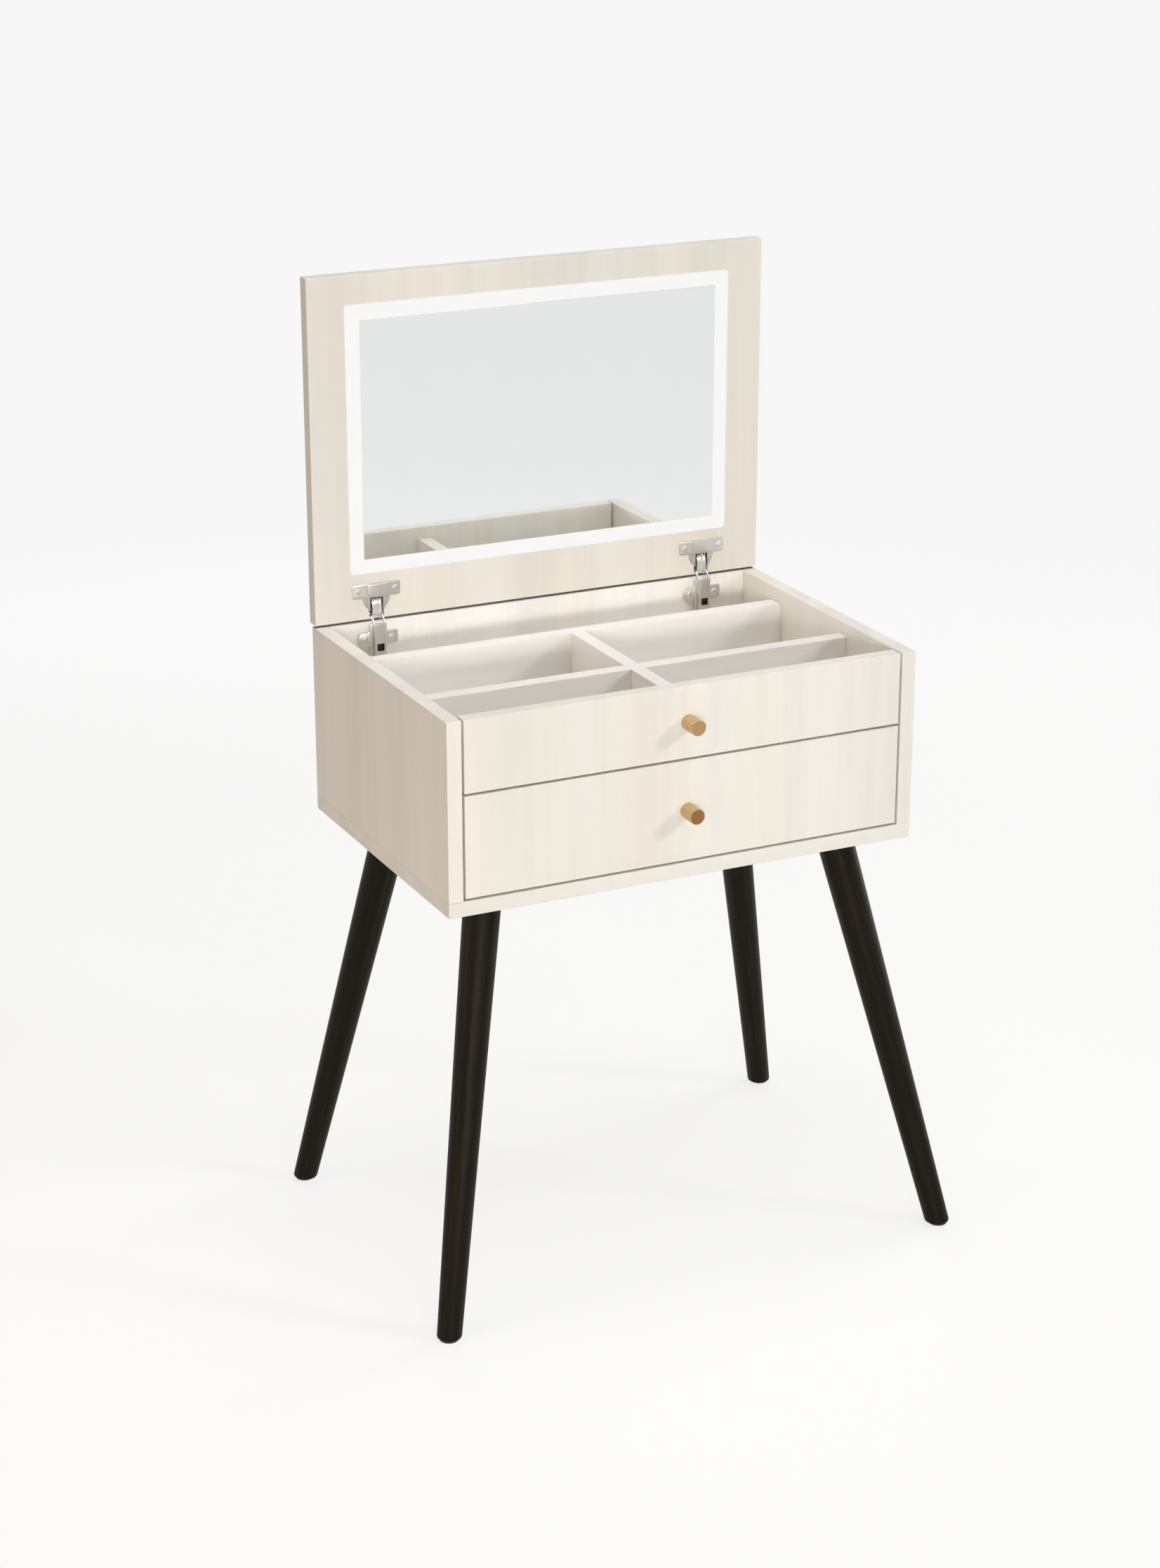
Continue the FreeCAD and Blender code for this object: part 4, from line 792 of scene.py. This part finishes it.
class VANITY_OT_legs(Operator):
    """Finishes the legs and their glides"""
    bl_idname = "vanity.legs"
    bl_label = "Legs"

    def execute(self, context):
        stain = leg_finish("black_stain", context.scene.vanity_legs)
        plastic = plastic_finish("glide_plastic_black", rgb(38, 37, 36), 0.5)
        for end in ENDS:
            for side in SIDES:
                dress(stain, f"{end}_{side}_leg")
                dress(plastic, f"{end}_{side}_glide")
        return {"FINISHED"}


class VANITY_OT_knobs(Operator):
    """Finishes the two knobs"""
    bl_idname = "vanity.knobs"
    bl_label = "Knobs"

    def execute(self, context):
        props = context.scene.vanity_knobs
        for node, cut_end_and_shade_tone in (("upper_knob", props.upper_cut_end_and_shade), ("drawer_knob", props.lower_cut_end_and_shade)):
            dress(knob_finish(f"{node}_wood", node, cut_end_and_shade_tone, props), node)
        return {"FINISHED"}


class VANITY_OT_mirror(Operator):
    """Finishes the lit mirror and what lies behind it"""
    bl_idname = "vanity.mirror"
    bl_label = "Lit mirror"

    def execute(self, context):
        dress(mirror_finish("silvered_glass"), "mirror_glass")
        dress(frosted_finish("lit_acrylic", context.scene.vanity_light), "light_frame")
        dress(tape_finish("chip_tape"), "light_strip")
        dress(plastic_finish("backing_grey", rgb(92, 92, 94), 0.6), "mirror_backing")
        dress(plastic_finish("switch_black", rgb(44, 44, 48), 0.4), "touch_switch")
        dress(plastic_finish("battery_blue", rgb(52, 70, 112), 0.35), "battery_pack")
        dress(circuit_finish("circuit_green"), "control_board")
        dress(plastic_finish("socket_white", rgb(226, 222, 214), 0.45), "charging_socket")
        return {"FINISHED"}


class VANITY_OT_hinges(Operator):
    """Makes the two lid hinges with their cups, links, arms, base plates and screws"""
    bl_idname = "vanity.hinges"
    bl_label = "Lid hinges"

    def execute(self, context):
        props = context.scene.vanity_hinges
        nickel = metal_finish("nickel_plate", (0.70, 0.68, 0.65), 0.32)
        chrome = metal_finish("chrome_plate", (0.90, 0.90, 0.90), 0.16)
        # Painted shade: the cam's near-black colour stands in for the shade in each arm's square hole
        dark = plastic_finish("cam_painted_shade", rgb(24, 22, 20), 0.5)
        steel = metal_finish("hinge_screw_zinc", (0.76, 0.75, 0.73), 0.24)
        for side in SIDES:
            hinge = Hinge(side, props)
            hinge.add_cup(nickel)
            hinge.add_link(chrome)
            hinge.add_arm(nickel, chrome)
            hinge.add_base(nickel, dark)
        radius = props.screw_radius / MILLIMETRE
        self.add_screws("hinge_cup_screws", "lid", radius, steel)
        self.add_screws("hinge_plate_screws", "case", radius, steel)
        return {"FINISHED"}

    @staticmethod
    def add_screws(node, body, radius, material):
        """A screw at each side of each hinge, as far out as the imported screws."""
        low, high = span(node)
        farthest = (high.x - low.x) / 2 - radius
        row = (low.z + high.z) / 2
        screws = []
        for side in SIDES:
            middle = centre(f"{side}_hinge_arm").x
            reach = farthest - abs(middle)
            screws += [cross_screw((place, low.y, row), radius, high.y - low.y)
                       for place in (middle - reach, middle + reach)]
        piece(f"{node}_crossed", screws, material, body, "screw_steel", node)


class VANITY_OT_hardware(Operator):
    """Finishes the drawer slides, the bolts, the pins and the screws"""
    bl_idname = "vanity.hardware"
    bl_label = "Hardware"

    def execute(self, context):
        zinc = metal_finish("zinc_rails", (0.62, 0.63, 0.65), 0.42, brushed="Y", metallic=0.7)
        steel = metal_finish("zinc_screws", (0.70, 0.70, 0.69), 0.28)
        for side in SIDES:
            dress(zinc, f"{side}_case_rail", f"{side}_middle_rail", f"{side}_drawer_rail")
        dress(steel, "leg_bolts", "tee_nuts", "case_rail_screws", "drawer_rail_screws",
              "hinge_pins", "drawer_screws", "upper_knob_screw", "drawer_knob_screw")
        return {"FINISHED"}


def aim_at(item, place, target):
    """Stands a lamp or a camera at a place, facing a point."""
    item.location = place
    item.rotation_euler = (Vector(target) - Vector(place)).to_track_quat("-Z", "Y").to_euler()


def area_light(name, power, place, aim, extent, colour=WHITE, spread=math.pi):
    """A soft light, as wide and as tall as the extent says, that faces a point."""
    lamp = bpy.data.lights.new(name, "AREA")
    lamp.energy = power
    lamp.shape = "RECTANGLE"
    lamp.size, lamp.size_y = extent
    lamp.color = colour
    lamp.spread = spread
    light = bpy.data.objects.new(name, lamp)
    aim_at(light, place, aim)
    bpy.context.scene.collection.objects.link(light)


def seen_rays(wire):
    """Rays that show the room: 1 for those from the camera, and for those off metal or glass."""
    rays = wire.node("ShaderNodeLightPath").socket.node.outputs
    camera, glossy, clear = (Wire(wire.tree, rays[name]) for name in
                             ("Is Camera Ray", "Is Glossy Ray", "Is Transmission Ray"))
    return camera, glossy + clear


class VANITY_OT_stage(Operator):
    """Sets the floor, the room light, the lamps and the camera"""
    bl_idname = "vanity.stage"
    bl_label = "Stage"

    def execute(self, context):
        scene = context.scene
        props = scene.vanity_studio
        scene.view_settings.view_transform = "Standard"
        for item in list(scene.objects):
            if item.type in {"LIGHT", "CAMERA"}:
                bpy.data.objects.remove(item)
        self.light_room(scene, props)
        self.lay_floor(scene, props)
        self.hang_lamps(props)
        self.place_camera(scene, props)
        return {"FINISHED"}

    @staticmethod
    def light_room(scene, props):
        """Even light for the table, and the backdrop's grey for what is seen of the room."""
        world = bpy.data.worlds.new("room")
        scene.world = world
        world.use_nodes = True
        world.node_tree.nodes.clear()
        wire = Wire(world.node_tree)
        camera, reflected = seen_rays(wire)
        soft = wire.node("ShaderNodeBackground", sockets={"Color": WHITE, "Strength": props.room})
        across, deep, up = wire.parts(wire.node("ShaderNodeTexCoord", output="Generated"))
        wall = wire.blend(up.ease(-0.35, 0.55), props.room_low, props.room_high)
        before = (deep + across * 0.25).ease(-0.05, -0.75)
        around = wire.blend(before, props.backdrop, wall)
        shown = wire.blend(camera, around, props.backdrop)
        plain = wire.node("ShaderNodeBackground", sockets={"Color": shown})
        mixed = wire.node("ShaderNodeMixShader", sockets={
            0: (camera + reflected) > 0.5, 1: soft, 2: plain})
        wire.node("ShaderNodeOutputWorld", sockets={"Surface": mixed})

    @staticmethod
    def lay_floor(scene, props):
        """A pale floor that keeps the shadow and fades into the backdrop."""
        half = 8.0
        mesh = bpy.data.meshes.new("floor")
        mesh.from_pydata([(-half, -half, 0), (half, -half, 0), (half, half, 0), (-half, half, 0)],
                         [], [(0, 1, 2, 3)])
        floor = bpy.data.objects.new("floor", mesh)
        scene.collection.objects.link(floor)
        # The seen floor glows at the backdrop's level, but for the share that keeps the shadow
        shadow_share, level = 0.3, 1.075
        fade_start, fade_end = 1.3, 3.4
        material, wire, place = start_finish("floor_paper")
        distance = wire.node("ShaderNodeVectorMath", {"operation": "LENGTH"}, {0: place}, "Value")
        paper = wire.node("ShaderNodeBsdfDiffuse", sockets={"Color": (0.8, 0.8, 0.8)})
        shaded = wire.node("ShaderNodeBsdfDiffuse",
                           sockets={"Color": darker(props.backdrop, shadow_share)})
        glow = wire.node("ShaderNodeEmission", sockets={
            "Color": props.backdrop, "Strength": level - shadow_share})
        shown = wire.node("ShaderNodeAddShader", sockets={0: shaded, 1: glow})
        camera, reflected = seen_rays(wire)
        both = wire.node("ShaderNodeMixShader", sockets={
            0: (camera + reflected) > 0.5, 1: paper, 2: shown})
        clear = wire.node("ShaderNodeBsdfTransparent")
        below = wire.node("ShaderNodeNewGeometry", output="Backfacing")
        unseen = wire.maths("MAXIMUM", distance.ease(fade_start, fade_end), below)
        faded = wire.node("ShaderNodeMixShader", sockets={0: unseen, 1: both, 2: clear})
        wire.node("ShaderNodeOutputMaterial", sockets={"Surface": faded})
        mesh.materials.append(material)

    @staticmethod
    def hang_lamps(props):
        """Soft lamps on all sides, and a narrow one that throws the knobs' shadows."""
        area_light("key_light", props.key_power, place=(-1.3, -3.7, 1.12), aim=(0, 0, 0.7),
                   extent=(2.0, 0.5), colour=(1.0, 0.985, 0.97))
        area_light("front_light", props.front_power, place=(0.6, -3.9, 1.12), aim=(0, 0, 0.7),
                   extent=(2.4, 0.5), colour=(0.96, 0.99, 1.0))
        area_light("right_light", props.right_power, place=(2.87, -2.34, 2.46),
                   aim=(0, -0.18, 0.63), extent=(0.8, 0.8), colour=(1.0, 0.975, 0.93),
                   spread=math.radians(40))
        area_light("fill_light", props.fill_power, place=(-3.0, -0.7, 1.1), aim=(0, 0, 0.6),
                   extent=(2.0, 2.0), colour=(1.0, 0.72, 0.47))
        area_light("top_light", props.top_power, place=(0.1, 0.2, 3.0), aim=(0.1, 0.2, 0.6),
                   extent=(2.4, 0.8))
        area_light("tray_light", props.tray_power, place=(0.0, -1.1, 3.2), aim=(0, 0, 0.7),
                   extent=(2.2, 1.2))
        area_light("back_light", props.rear_power, place=(0.9, 4.4, 1.0), aim=(0, 0, 0.8),
                   extent=(3.0, 0.8), colour=(1.0, 0.99, 0.97))
        area_light("side_light", props.rear_power, place=(4.2, 0.9, 0.8), aim=(0, 0, 0.7),
                   extent=(1.8, 0.8), colour=(1.0, 0.98, 0.95))

    @staticmethod
    def place_camera(scene, props):
        """The camera at the photograph's angle."""
        lens = bpy.data.cameras.new("camera")
        lens.lens = props.lens
        lens.sensor_width = 36.0
        camera = bpy.data.objects.new("camera", lens)
        aim_at(camera, props.camera_place, props.camera_aim)
        scene.collection.objects.link(camera)
        scene.camera = camera


class VANITY_PT_panel(Panel):
    """Lists the steps that dress the table"""
    bl_idname = "VANITY_PT_panel"
    bl_label = "Vanity table"
    bl_space_type = "VIEW_3D"
    bl_region_type = "UI"
    bl_category = "Vanity"

    def draw(self, context):
        for operator in OPERATORS:
            self.layout.operator(operator.bl_idname)
        for name in PROPS:
            group = getattr(context.scene, name)
            for prop in group.bl_rna.properties:
                if prop.identifier not in {"name", "rna_type"}:
                    self.layout.prop(group, prop.identifier)


PROPS = {"vanity_boards": BoardProps, "vanity_legs": LegProps, "vanity_knobs": KnobProps,
         "vanity_light": LightProps, "vanity_hinges": HingeProps, "vanity_studio": StudioProps}
OPERATORS = (VANITY_OT_boards, VANITY_OT_legs, VANITY_OT_knobs, VANITY_OT_mirror,
             VANITY_OT_hinges, VANITY_OT_hardware, VANITY_OT_stage)


def register():
    """Adds the classes and their settings."""
    for item in (*PROPS.values(), *OPERATORS, VANITY_PT_panel):
        bpy.utils.register_class(item)
    for name, group in PROPS.items():
        setattr(bpy.types.Scene, name, PointerProperty(type=group))


def unregister():
    """Removes the classes and their settings."""
    for name in PROPS:
        delattr(bpy.types.Scene, name)
    for item in (VANITY_PT_panel, *reversed(OPERATORS), *PROPS.values()):
        bpy.utils.unregister_class(item)


def main():
    """Dresses the table and sets the stage."""
    register()
    bpy.ops.vanity.boards()
    bpy.ops.vanity.legs()
    bpy.ops.vanity.knobs()
    bpy.ops.vanity.mirror()
    bpy.ops.vanity.hinges()
    bpy.ops.vanity.hardware()
    bpy.ops.vanity.stage()


if __name__ == "__main__":
    main()
